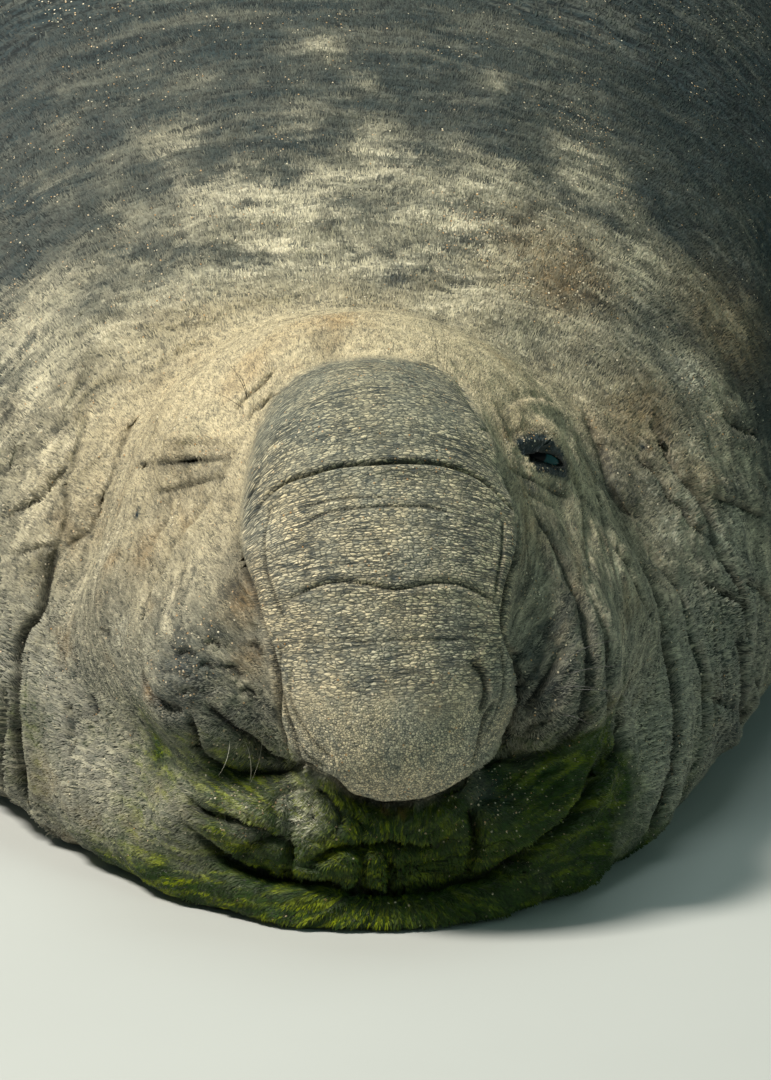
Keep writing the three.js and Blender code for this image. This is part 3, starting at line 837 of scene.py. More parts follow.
LEFT_LIDS = Lids(
    "left",
    ((514, 460), (523, 456), (533, 453.5), (544, 453), (552, 455.5), (558, 460), (562, 465)),
    ((514, 460), (524, 462.5), (535, 463), (546, 464), (556, 466), (562, 465)),
    (
        Crease(
            ((500, 412), (515, 400), (537, 397), (555, 407), (568, 428), (577, 450), (582, 480),
             (586, 515), (590, 545)), 1.5, 5, right=3.5, reach=11, dark=0.1),
        Crease(((503, 441), (515, 433), (530, 428), (546, 429), (559, 440)), 1.2, 3, dark=0.5),
        Crease(
            ((507, 452), (517, 445), (531, 441), (545, 442), (556, 449), (564, 460)), -2.8, 4, dark=0.0),
        Crease(((520, 467), (534, 468), (548, 470), (561, 473)), -1.8, 2.8, dark=0.0),
        Crease(
            ((500, 460), (512, 472), (530, 480), (548, 490), (562, 497), (572, 499)), 3.5, 2.2, left=2),
        Crease(((515, 485), (535, 498), (555, 508)), 2, 3, left=1.5, dark=0.5),
    ),
)
RIGHT_LIDS = Lids(
    "right",
    ((178, 462), (186, 461), (193, 460.4), (200, 460.2), (206, 460.6)),
    ((178, 462), (186, 462.4), (193, 462.2), (200, 461.4), (206, 460.6)),
    (
        Crease(
            ((132, 466), (150, 464), (170, 463), (190, 461), (212, 460), (234, 458)), 3, 3.6, dark=0.95),
        Crease(((152, 494), (172, 490), (195, 484), (228, 476)), 3, 3, left=1, dark=0.85),
        Crease(((165, 450), (190, 446), (215, 447), (236, 452)), 1.2, 5, left=2, dark=0.15),
    ),
)


def every_crease() -> list[Crease]:
    """All the folds, in the order in which they are pressed."""
    pits = [Crease(route, 3, 2.2, left=1.5, right=1.5, reach=6) for route in FOLLICLES]
    return [*NOSE_CREASES, *FACE_CREASES, *pits, *CHIN_CREASES, *LEFT_LIDS.folds, *RIGHT_LIDS.folds]


def inside(points: Array, outline: Array) -> Array:
    """Which points of a plane lie inside a closed outline.

    Args:
        points: Pixels.
        outline: Pixels round the outline.

    Returns:
        Whether each one lies inside.
    """
    x, y = points.T
    crossed = np.zeros(len(points), bool)
    for (ax, ay), (bx, by) in zip(outline, np.roll(outline, -1, axis=0)):
        if ay == by:
            continue
        between = (ay > y) != (by > y)
        crossed ^= between & (x < (bx - ax) * (y - ay) / (by - ay) + ax)
    return crossed


def depth_inside(points: Array, outline: Pixels) -> Array:
    """How far inside an outline points show.

    Args:
        points: Places on the skin.
        outline: Pixels round the outline.

    Returns:
        Pixels for each place, below 0 outside the outline.
    """
    pixels = VIEW.pixels(points)
    ring = np.array(outline, float)
    nearest = np.full(len(points), np.inf)
    for start, end in zip(ring, np.roll(ring, -1, axis=0)):
        along = end - start
        share = np.clip((pixels - start) @ along / (along @ along), 0.0, 1.0)[:, None]
        nearest = np.minimum(nearest, np.linalg.norm(pixels - start - share * along, axis=1))
    return np.where(inside(pixels, ring), nearest, -nearest)


def nose_share(points: Array, half_width: float = 0.17, root: float = 0.40, floor: float = 0.08) -> Array:
    """1 on the proboscis, 0 off it.

    Args:
        points: Places on the skin.
        half_width: No part of it is further from the middle.
        root: How far behind the chin it ends.
        floor: The height that it stays above.

    Returns:
        The share at each place.
    """
    behind = points[:, 1] - CHIN_Y
    near = np.nonzero((np.abs(points[:, 0]) < half_width) & (behind < root) & (points[:, 2] > floor))[0]
    share = np.zeros(len(points))
    edge = depth_inside(points[near], NOSE_OUTLINE)
    share[near] = smoothstep(edge, -3.0, 6.0) * (1.0 - smoothstep(behind[near], root - 0.06, root))
    return share


PROBOSCIS = ((0.0, 0.1, 0.27), (0.16, 0.16, 0.2))  # an ellipsoid round it, as its middle and its radii


@dataclass
class Hide:
    """The one skin over all the flesh, with its rolls, folds, lids and colour zones."""

    trunk_voxel: float = 0.013
    flipper_voxel: float = 0.005
    meeting: float = 0.0005  # growth that closes the gaps between the solids
    root_sink: float = 0.02
    passes: int = 30
    coat_depth: float = 0.003
    roll_pitch: float = 0.112
    roll_depth: float = 0.010
    roll_softness: float = 0.25  # above 0, the folds between the rolls are round
    eye_radius: float = 0.032
    fold_cell: float = 0.007  # the mesh is finest within about this of a fold
    surface: Surface = field(init=False)
    # painted shade along the folds and round the lids, from 0 to 1
    crease_shade: Array = field(init=False)
    opening: Array = field(init=False)

    def shape(self) -> None:
        """Casts the skin and works it from the large forms to the small ones."""
        self.surface = self._cast()
        self._soften()
        self._refine()
        self._roll()
        self._wrinkle()
        self._sink_coat()
        self._carve()
        self._open_lids()
        self._settle()

    def _cast(self) -> Surface:
        """One closed skin over the solids: coarse on the trunk, fine on the flippers.

        Returns:
            The skin.
        """
        body = remeshed(Surface.of_nodes(TRUNK + HEAD + EYES, self.meeting), self.trunk_voxel)
        body.keep_largest()
        fins = Surface.of_nodes(FLIPPERS, 0.0)
        self._sink_roots(fins, body)
        return fused(body, remeshed(fins, self.flipper_voxel))

    def _sink_roots(self, fins: Surface, body: Surface) -> None:
        """Pushes the cut roots of the flippers into the trunk, so that the two skins cross.

        Args:
            fins: The flippers, whose points are moved.
            body: The trunk's skin.
        """
        tree = body.tree()
        for i, point in enumerate(fins.points):
            spot, normal, _, _ = tree.find_nearest(Vector(point))
            if (Vector(point) - spot).dot(normal) < 0.5 * self.trunk_voxel:
                fins.points[i] = spot - self.root_sink * normal

    def _soften(self) -> None:
        """Smooths the facets away: most on the trunk, least on the flippers and the head."""
        points = self.surface.points
        depth = girdle_depth(points)
        trunk = 0.27 + 0.6 * smoothstep(depth, 0.3, 0.7)
        head = 0.10 + (trunk - 0.10) * smoothstep(box_distance(points, "head"), 0.0, 0.12)
        off_nose = smoothstep(ellipsoid(points, *PROBOSCIS), 0.9, 1.3)
        share = 0.06 + (head - 0.06) * off_nose
        for node in FLIPPERS:
            share = 0.05 + (share - 0.05) * smoothstep(box_distance(points, node), 0.0, 0.08)
        self.surface.smooth(share, self.passes)

    def _refine(self) -> None:
        """Cuts the mesh finer over the neck, finer again on the face, and finest along the folds."""
        tree = self.surface.tree()
        folds = np.concatenate([VIEW.cast(tree, crease.route) for crease in every_crease()])
        for level in range(4):
            middles = self.surface.middles()
            depth = girdle_depth(middles)
            if level == 0:
                wanted = depth < 0.85
            elif level == 1:
                wanted = (depth < 0.30) | (box_distance(middles, "head") < 0.01)
                wanted |= near_any(middles, folds, 0.010)
            elif level == 2:
                wanted = near_any(middles, folds, self.fold_cell)
            else:
                wanted = np.zeros(len(middles), bool)
                for node in EYES:
                    wanted |= box_distance(middles, node) < 0.006
            self.surface.refine(wanted)
            fine = girdle_depth(self.surface.points) < 0.9
            self.surface.smooth(np.where(fine, 0.35, 0.0), 3)

    def _roll(self) -> None:
        """Raises the rings of loose skin round the neck."""
        points, normals = self.surface.points, self.surface.normals()
        depth = girdle_depth(points) + 0.012 * layered(points, 0.25, 3)
        wave = np.sqrt(np.sin(np.pi * depth / self.roll_pitch) ** 2 + self.roll_softness**2)
        side = 1.0 - smoothstep(normals[:, 2], 0.15, 0.85)
        along = smoothstep(depth, 0.30, 0.5) * (1.0 - smoothstep(depth, 0.9, 1.15))
        size = self.roll_depth * (1.0 + 0.5 * grain(points, 0.2, 8))
        self.surface.points += (size * (1.5 * wave**0.7 - 1.0) * side * along)[:, None] * normals

    def _wrinkle(self) -> None:
        """Fine wrinkles that run round the body and the face."""
        points, normals = self.surface.points, self.surface.normals()
        lie = lie_of(points)
        warped = lie + 0.02 * np.stack([layered(points, 0.08, 20 + i) for i in range(3)], axis=1)
        rings = 1.0 - np.abs(layered(warped / np.array([1.0, 4.5, 4.5]), 0.022, 30, 2))
        lumps = layered(points, 0.09, 40)
        near = 1.0 - smoothstep(lie[:, 0], 0.8, 1.3)
        flipper = np.ones(len(points))
        for node in FLIPPERS:
            flipper *= smoothstep(box_distance(points, node), 0.0, 0.08)
        nose = 1.0 - nose_share(points)
        height = (0.0022 * (rings**3 - 0.4) * near + 0.0035 * lumps * (0.4 + 0.6 * near)) * nose * flipper
        self.surface.points += height[:, None] * normals

    def _sink_coat(self) -> None:
        """Draws the skin in by the depth of the coat, which is less on the face and flippers."""
        points, normals = self.surface.points, self.surface.normals()
        depth = self.coat_depth * (0.5 + 0.5 * smoothstep(girdle_depth(points), 0.2, 0.5))
        depth *= 1.0 - nose_share(points)
        for node in FLIPPERS:
            depth *= 0.2 + 0.8 * smoothstep(box_distance(points, node), 0.0, 0.05)
        self.surface.points -= depth[:, None] * normals

    def _carve(self) -> None:
        """Presses the traced folds into the skin."""
        normals, tree = self.surface.normals(), self.surface.tree()
        self.crease_shade = np.zeros(len(self.surface.points))
        for crease in every_crease():
            self._press(crease, VIEW.cast(tree, crease.route), normals)

    def _press(self, crease: Crease, line: Array, normals: Array) -> None:
        """Moves the skin along one fold.

        Args:
            crease: The fold's sizes.
            line: Its points on the skin.
            normals: The skin's normals.
        """
        if len(line) < 4:
            return
        points = self.surface.points
        sizes = (crease.depth, crease.width, crease.left, crease.right, crease.reach)
        depth, width, left, right, reach = (MM * size for size in sizes)
        margin = 2.5 * max(width, reach)
        low, high = line.min(axis=0) - margin, line.max(axis=0) + margin
        near = np.nonzero(np.all((points > low) & (points < high), axis=1))[0]
        offsets = points[near][:, None, :] - line[None, :, :]
        squares = np.einsum("ijk,ijk->ij", offsets, offsets)
        closest = np.argmin(squares, axis=1)
        distance = np.sqrt(squares[np.arange(len(near)), closest])
        tangent = unit(np.gradient(line, axis=0))[closest]
        offset = offsets[np.arange(len(near)), closest]
        side = np.einsum("ij,ij->i", offset, np.cross(normals[near], tangent))
        along = closest / (len(line) - 1)
        taper = np.clip(np.minimum(along, 1.0 - along) * 8.0 + 0.12, 0.0, 1.0)
        trench = bell(distance, width)
        swell = bell(distance - reach, 0.8 * reach)
        height = np.where(side > 0, left, right) * swell
        height *= smoothstep(np.abs(side), 0.0, 6 * MM)
        points[near] += ((height - depth * trench) * taper)[:, None] * normals[near]
        # painted shade along the bottom of the fold
        dark = crease.dark * bell(distance, 1.1 * width) * taper
        self.crease_shade[near] = np.maximum(self.crease_shade[near], dark)

    def eye_middle(self, side: str) -> Array:
        """The middle of an eyeball."""
        low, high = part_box("eye_" + side)
        return np.array((low + high) / 2)

    def _open_lids(self) -> None:
        """Opens the lids over both eyeballs."""
        points = self.surface.points
        self.opening = np.zeros(len(points))
        for lids in (LEFT_LIDS, RIGHT_LIDS):
            middle = self.eye_middle(lids.side)
            near = np.nonzero(np.linalg.norm(points - middle, axis=1) < 2.0 * self.eye_radius)[0]
            upper, lower = smooth_route(lids.upper, 2.0), smooth_route(lids.lower, 2.0)
            outline = np.concatenate([upper, lower[::-1][1:-1]])
            pixels = VIEW.pixels(points[near])
            gap = pixels[:, None, :] - outline[None, :, :]
            edge = np.sqrt(np.min(np.einsum("ijk,ijk->ij", gap, gap), axis=1)) * VIEW.metre_per_pixel
            within = inside(pixels, outline)
            away = points[near] - middle
            radius = np.linalg.norm(away, axis=1)
            out = unit(away)
            lid = np.maximum(radius, self.eye_radius + 0.0015 + lids.rim * bell(edge - 0.002, lids.rim_width))
            target = np.where(within, self.eye_radius - lids.sunk, lid)
            share = np.where(within, smoothstep(edge, 0.0, 0.0012), 1.0)
            blended = share * target + (1.0 - share) * lid
            points[near] = middle + out * blended[:, None]
            self.opening[near] = np.where(within, 1.0, bell(edge, 0.002))
            # painted shade round the edge of the lids
            self.crease_shade[near] = np.maximum(self.crease_shade[near], 0.85 * bell(edge, 0.004))

    def _settle(self) -> None:
        """Rests the underside on the ground."""
        points = self.surface.points
        points[:, 2] = np.maximum(points[:, 2], 0.0)


class Tint(Enum):
    """The small marks of colour on the hide."""

    # dark skin and pigment, and painted shade
    DARK = 0
    OCHRE = 1
    PALE = 2
    GRIT = 3


# pixel x and y of each mark's middle, its radius in millimetres, and how much of its tint shows
MARKS: dict[Tint, Sequence[tuple[float, float, float, float]]] = {
    # dark marks: dark skin and pigment on the pads, the ear and the lids, and painted shade below the left
    # eye, beside the proboscis, along the shut right eye, on the left temple, at the top corners and on the
    # lower left neck
    Tint.DARK: (
        (137, 514, 7, 1), (398, 279, 11, 0.9), (643, 447, 8, 1), (94, 705, 13, 0.6), (73, 722, 16, 0.5),
        (180, 668, 24, 0.7), (172, 700, 24, 0.6), (545, 695, 45, 0.55), (488, 790, 34, 0.7),
        (530, 486, 20, 0.75), (555, 492, 16, 0.7), (550, 530, 40, 0.45), (548, 565, 35, 0.35),
        (618, 480, 50, 0.6), (505, 425, 12, 0.25), (165, 464, 9, 0.4), (190, 462, 10, 0.5),
        (215, 459, 10, 0.5), (215, 470, 14, 0.35), (195, 476, 16, 0.25), (160, 515, 30, 0.22),
        (215, 449, 8, 0.35), (232, 560, 13, 0.4), (236, 590, 15, 0.55), (700, 50, 160, 0.5),
        (110, 600, 50, 0.25), (60, 690, 70, 0.35), (245, 575, 20, 0.35), (15, 60, 110, 0.5),
        (735, 720, 90, 0.6), (700, 800, 70, 0.5)),
    Tint.OCHRE: (
        (335, 318, 30, 0.5), (150, 550, 24, 0.45), (112, 560, 12, 0.5), (245, 600, 24, 0.5),
        (250, 660, 20, 0.35), (648, 449, 6, 1), (385, 811, 5, 0.9), (402, 812, 5, 0.9),
        (150, 690, 12, 0.5), (560, 275, 60, 0.35), (508, 437, 6, 0.8), (700, 470, 40, 0.3),
        (640, 420, 50, 0.35), (730, 330, 70, 0.3)),
    Tint.PALE: (
        # pale marks: a pale hairy lump on the chin and cream patches; those on the fold ridges of the
        # animal's left neck are partly painted highlight
        (304, 812, 21, 1), (245, 815, 28, 0.35), (690, 500, 20, 0.5), (720, 540, 30, 0.5),
        (120, 632, 20, 0.5), (690, 372, 22, 0.7), (700, 455, 22, 0.6), (670, 530, 22, 0.5),
        (735, 520, 24, 0.5), (655, 485, 14, 0.5)),
    Tint.GRIT: (
        (205, 453, 10, 0.8), (222, 452, 8, 0.8), (475, 228, 34, 1), (592, 122, 24, 1),
        (617, 186, 16, 0.8), (522, 438, 14, 0.9), (540, 472, 14, 1), (515, 445, 10, 1),
        (235, 810, 40, 0.9), (560, 270, 60, 0.6), (705, 410, 30, 0.8), (185, 655, 30, 0.5),
        (530, 470, 7, 1), (548, 480, 7, 1), (560, 488, 6, 1), (508, 440, 8, 1), (530, 431, 9, 1),
        (548, 434, 7, 1), (490, 800, 50, 0.5), (680, 760, 70, 0.5)),
}


# ellipsoids, each as its middle and its radii; the pad is the one on the left side
TAN_FACE = ((-0.02, 0.38, 0.28), (0.34, 0.31, 0.275))
WHISKER_PAD = ((0.155, 0.09, 0.215), (0.07, 0.08, 0.065))


@dataclass(frozen=True)
class Zones:
    """The colour zones at places on the skin, each from 0 to 1."""

    tan: Array
    stain: Array
    nose: Array
    # painted shade in the folds
    crease_shade: Array
    # partly the coat's own darker colour, partly painted shade on the far back and the flanks
    shade: Array
    pad: Array
    low: Array
    flipper: Array
    spots: Array

    @classmethod
    def of(cls, points: Array, crease_shade: Array, tree: BVHTree) -> "Zones":
        """Works out the zones.

        Args:
            points: Places on the skin.
            crease_shade: How much painted shade each place gets in the folds.
            tree: The skin, on which the marks are placed.

        Returns:
            The zones.
        """
        drift = layered(points, 0.09, 50)
        nose = nose_share(points)
        mask = ellipsoid(points, *TAN_FACE) + 0.07 * drift
        height = points[:, 2]
        crown = 0.30 + 0.70 * smoothstep(height + 0.04 * drift, 0.24, 0.44)
        tan = (1.0 - smoothstep(mask, 0.80, 1.15)) * crown * smoothstep(height, 0.10, 0.24)
        front = 1.0 - smoothstep(points[:, 1] - CHIN_Y + 0.10 * drift, 0.10, 0.50)
        tilt = 0.20 * np.clip(points[:, 0], 0.0, 0.2)
        low = 1.0 - smoothstep(height - tilt + 0.03 * drift, 0.10, 0.19)
        middle = 1.0 - smoothstep(np.abs(points[:, 0]) + 0.08 * drift, 0.10, 0.38)
        stain = np.minimum(1.35 * front * low * middle, 1.0) * (1.0 - 0.9 * nose)
        # the far back and both flanks darken towards a dark blue-grey, the animal's left flank most: partly
        # the coat's own darker colour, partly painted shade
        back = girdle_depth(points)
        across = np.where(points[:, 0] > 0, 0.38, -0.35) * points[:, 0]
        shade = smoothstep(back + across + 0.14 * drift, 0.57, 0.84)
        rear = 1.0 - smoothstep(back + 0.05 * drift, 0.30, 0.62)
        under = rear * (1.0 - smoothstep(height + 0.04 * drift, 0.16, 0.30)) * (1.0 - nose)
        pad = np.zeros(len(points))
        for side in (-1, 1):
            spot = ellipsoid(points * (side, 1, 1), *WHISKER_PAD) + 0.1 * drift
            pad = np.maximum(pad, 1.0 - smoothstep(spot, 0.75, 1.1))
        flipper = np.ones(len(points))
        for node in FLIPPERS:
            flipper *= smoothstep(box_distance(points, node) + 0.02 * drift, 0.0, 0.06)
        spots = cls._spots(points, drift, tree)
        return cls(tan, stain, nose, crease_shade, shade, pad * (1.0 - nose), under, 1.0 - flipper, spots)

    @staticmethod
    def _spots(points: Array, drift: Array, tree: BVHTree) -> Array:
        """The strength of each tint.

        Args:
            points: Places on the skin.
            drift: Noise that makes the edges ragged.
            tree: The skin, on which the marks are placed.

        Returns:
            One column for each tint.
        """
        spots = np.zeros((len(points), len(Tint)))
        for tint, marks in MARKS.items():
            column = spots[:, tint.value]
            for x, y, radius, strength in marks:
                middle = tree.ray_cast(VIEW.eye, VIEW.ray(x, y))[0]
                if middle is not None:
                    away = np.linalg.norm(points - np.array(middle), axis=1) * (1.0 + 0.25 * drift)
                    np.maximum(column, strength * bell(away, MM * radius), out=column)
        # the left eye's dark lids: their wet dark skin, and partly painted shade under the brow
        near = np.nonzero(box_distance(points, "eye_left") < 0.03)[0]
        lid = 0.95 * smoothstep(depth_inside(points[near], LEFT_LID_SKIN), -4.5, 3.5)
        spots[near, Tint.DARK.value] = np.maximum(spots[near, Tint.DARK.value], lid)
        return spots

    def colours(self) -> dict[str, Array]:
        """The zones packed as three colour attributes."""
        return {
            "zones": np.stack([self.tan, self.stain, self.nose, self.crease_shade], axis=1),
            "more_zones": np.stack([self.shade, self.pad, self.low, self.flipper], axis=1),
            "spots": self.spots,
        }


def nose_lie(points: Array, pivot: Pixel = (0.25, 0.20), radius: float = 0.26) -> Array:
    """Coordinates along and across the proboscis, in metres.

    Args:
        points: Places on the skin.
        pivot: Depth and height of the axis that it bends round.
        radius: The radius that turns angles into metres.

    Returns:
        Metres along and across, one place to a row.
    """
    depth, height = pivot
    down = np.arctan2(points[:, 2] - height, -(points[:, 1] - CHIN_Y - depth))
    return np.stack([radius * down, points[:, 0], np.zeros(len(points))], axis=1)


def write_attributes(mesh: Mesh, vectors: dict[str, Array], colours: dict[str, Array]) -> None:
    """Stores one vector or colour for each point.

    Args:
        mesh: The mesh that takes them.
        vectors: Three numbers to a point, by name.
        colours: Four numbers to a point, by name.
    """
    for name, values in vectors.items():
        attribute = mesh.attributes.new(name, "FLOAT_VECTOR", "POINT")
        attribute.data.foreach_set("vector", values.astype(np.float32).ravel())
    for name, values in colours.items():
        attribute = mesh.attributes.new(name, "FLOAT_COLOR", "POINT")
        attribute.data.foreach_set("color", values.astype(np.float32).ravel())


class Graph:
    """Short hands for laying shader nodes and linking them."""

    def __init__(self, tree: NodeTree) -> None:
        """Takes the tree that the nodes go into."""
        self.tree = tree

    def add(self, kind: str, inputs: dict[Any, Any] | None = None, **settings: Any) -> Node:
        """Adds a node.

        Args:
            kind: The node's type.
            inputs: A value or a socket for each input, by name or number.
            settings: The node's own settings.

        Returns:
            The node.
        """
        node = self.tree.nodes.new(kind)
        for name, value in settings.items():
            setattr(node, name, value)
        for name, value in (inputs or {}).items():
            self.feed(node.inputs[name], value)
        return node

    def feed(self, target: NodeSocket, value: Any) -> None:
        """Links a socket to the target, or sets the target's value.

        Args:
            target: A node's input.
            value: A socket or a plain value.
        """
        if isinstance(value, NodeSocket):
            self.tree.links.new(value, target)
        else:
            target.default_value = value

    def math(self, operation: str, first: Any, second: Any = 0.0, third: Any = 0.0) -> NodeSocket:
        """One sum on values."""
        node = self.add("ShaderNodeMath", {0: first, 1: second, 2: third}, operation=operation)
        return node.outputs[0]

    def times(self, first: Any, second: Any) -> NodeSocket:
        """One value times another."""
        return self.math("MULTIPLY", first, second)

    def split(self, colour: NodeSocket) -> Sequence[NodeSocket]:
        """The red, green and blue of a colour."""
        return self.add("ShaderNodeSeparateColor", {0: colour}).outputs[:3]

    def rise(self, value: Any, low: float, high: float, bottom: float = 0.0, top: float = 1.0) -> NodeSocket:
        """Rises smoothly from bottom to top as the value goes from low to high."""
        inputs = {"Value": value, "From Min": low, "From Max": high, "To Min": bottom, "To Max": top}
        return self.add("ShaderNodeMapRange", inputs, interpolation_type="SMOOTHSTEP").outputs[0]

    def mix(self, share: Any, first: Any, second: Any, blend: str = "MIX") -> NodeSocket:
        """Mixes two colours."""
        node = self.add("ShaderNodeMix", {0: share, 6: first, 7: second}, data_type="RGBA", blend_type=blend)
        return node.outputs[2]

    def vector(self, operation: str, *inputs: Any) -> Node:
        """One sum on vectors."""
        return self.add("ShaderNodeVectorMath", dict(enumerate(inputs)), operation=operation)

    def scaled(self, vector: Any, factors: Triple) -> NodeSocket:
        """A vector times a factor along each axis."""
        return self.vector("MULTIPLY", vector, factors).outputs[0]

    def warped(self, vector: Any, scale: float, size: float) -> NodeSocket:
        """A vector pushed about by noise.

        Args:
            vector: The vector.
            scale: How fine the noise is.
            size: How far it pushes.

        Returns:
            The pushed vector.
        """
        noise = self.add("ShaderNodeTexNoise", {"Vector": vector, "Scale": scale, "Detail": 2.0})
        shift = self.vector("SUBTRACT", noise.outputs["Color"], (0.5, 0.5, 0.5)).outputs[0]
        return self.vector("MULTIPLY_ADD", shift, (size, size, size), vector).outputs[0]

    def noise(self, vector: Any, scale: float, detail: float = 2.0, roughness: float = 0.5) -> NodeSocket:
        """Noise from 0 to 1."""
        inputs = {"Vector": vector, "Scale": scale, "Detail": detail, "Roughness": roughness}
        return self.add("ShaderNodeTexNoise", inputs).outputs[0]

    def attribute(self, name: str) -> Node:
        """Reads a point attribute of the mesh."""
        return self.add("ShaderNodeAttribute", attribute_name=name)

    def group(self, made: NodeTree, inputs: dict[str, Any]) -> Node:
        """Places a node group with its own values.

        Args:
            made: The group.
            inputs: A value or a socket for each of its inputs.

        Returns:
            The group's node.
        """
        node = self.add("ShaderNodeGroup")
        node.node_tree = made
        for name, value in inputs.items():
            self.feed(node.inputs[name], value)
        return node


def node_group(name: str, inputs: dict[str, str], outputs: dict[str, str]) -> tuple[Graph, Node]:
    """Starts a shader node group.

    Args:
        name: The group's name.
        inputs: The kind of each input, by name.
        outputs: The kind of each output, by name.

    Returns:
        The graph to lay nodes in, and the node that its inputs come from.
    """
    tree = bpy.data.node_groups.new(name, "ShaderNodeTree")
    for direction, sockets in (("INPUT", inputs), ("OUTPUT", outputs)):
        for label, kind in sockets.items():
            tree.interface.new_socket(label, in_out=direction, socket_type=kind)
    graph = Graph(tree)
    return graph, graph.add("NodeGroupInput")


def close_group(graph: Graph, values: dict[str, Any]) -> NodeTree:
    """Feeds the group's outputs and gives its tree."""
    graph.add("NodeGroupOutput", values)
    return graph.tree


COLOUR, VALUE, PLACE = "NodeSocketColor", "NodeSocketFloat", "NodeSocketVector"


def rgb(red: float, green: float, blue: float) -> tuple[float, float, float, float]:
    """An opaque colour."""
    return (red, green, blue, 1.0)


@dataclass(frozen=True)
class Palette:
    """Colours of the hide and its coat, as reflectances."""

    tan: Colour = rgb(0.49, 0.42, 0.285)
    tan_deep: Colour = rgb(0.27, 0.225, 0.145)
    coat: Colour = rgb(0.060, 0.068, 0.061)
    coat_light: Colour = rgb(0.30, 0.28, 0.21)
    cream: Colour = rgb(0.58, 0.53, 0.40)
    # the dark blue-grey of the shade zone: partly the coat's own colour, partly painted shade
    shade_slate: Colour = rgb(0.016, 0.029, 0.034)
    nose: Colour = rgb(0.39, 0.36, 0.275)
    nose_grey: Colour = rgb(0.29, 0.29, 0.245)
    nose_gap: Colour = rgb(0.020, 0.030, 0.034)
    stain: Colour = rgb(0.015, 0.040, 0.003)
    stain_bright: Colour = rgb(0.22, 0.265, 0.0)
    throat: Colour = rgb(0.042, 0.052, 0.042)
    throat_light: Colour = rgb(0.38, 0.36, 0.27)
    pad: Colour = rgb(0.055, 0.064, 0.060)
    ochre: Colour = rgb(0.30, 0.18, 0.07)
    # the colour of the dark marks, dark skin and painted shade alike
    dark: Colour = rgb(0.010, 0.021, 0.027)
    pale: Colour = rgb(0.56, 0.54, 0.44)
    flipper: Colour = rgb(0.030, 0.029, 0.027)
    flipper_light: Colour = rgb(0.125, 0.112, 0.090)
    rear: Colour = rgb(0.036, 0.036, 0.031)
    rear_light: Colour = rgb(0.140, 0.125, 0.095)
    dry_tip: Colour = rgb(0.60, 0.57, 0.47)
    # factors on the colours of the markings
    # painted shade in the folds, multiplied into the colour
    crease_shade: Colour = rgb(0.11, 0.12, 0.115)
    hair_gap: Colour = rgb(0.16, 0.18, 0.19)
    hair_tip: Colour = rgb(1.35, 1.33, 1.28)
    tuft_dark: Colour = rgb(0.30, 0.31, 0.33)
    tuft_bright: Colour = rgb(1.5, 1.47, 1.36)
    pebble_dark: Colour = rgb(0.42, 0.46, 0.48)
    pebble_bright: Colour = rgb(2.25, 2.05, 1.75)


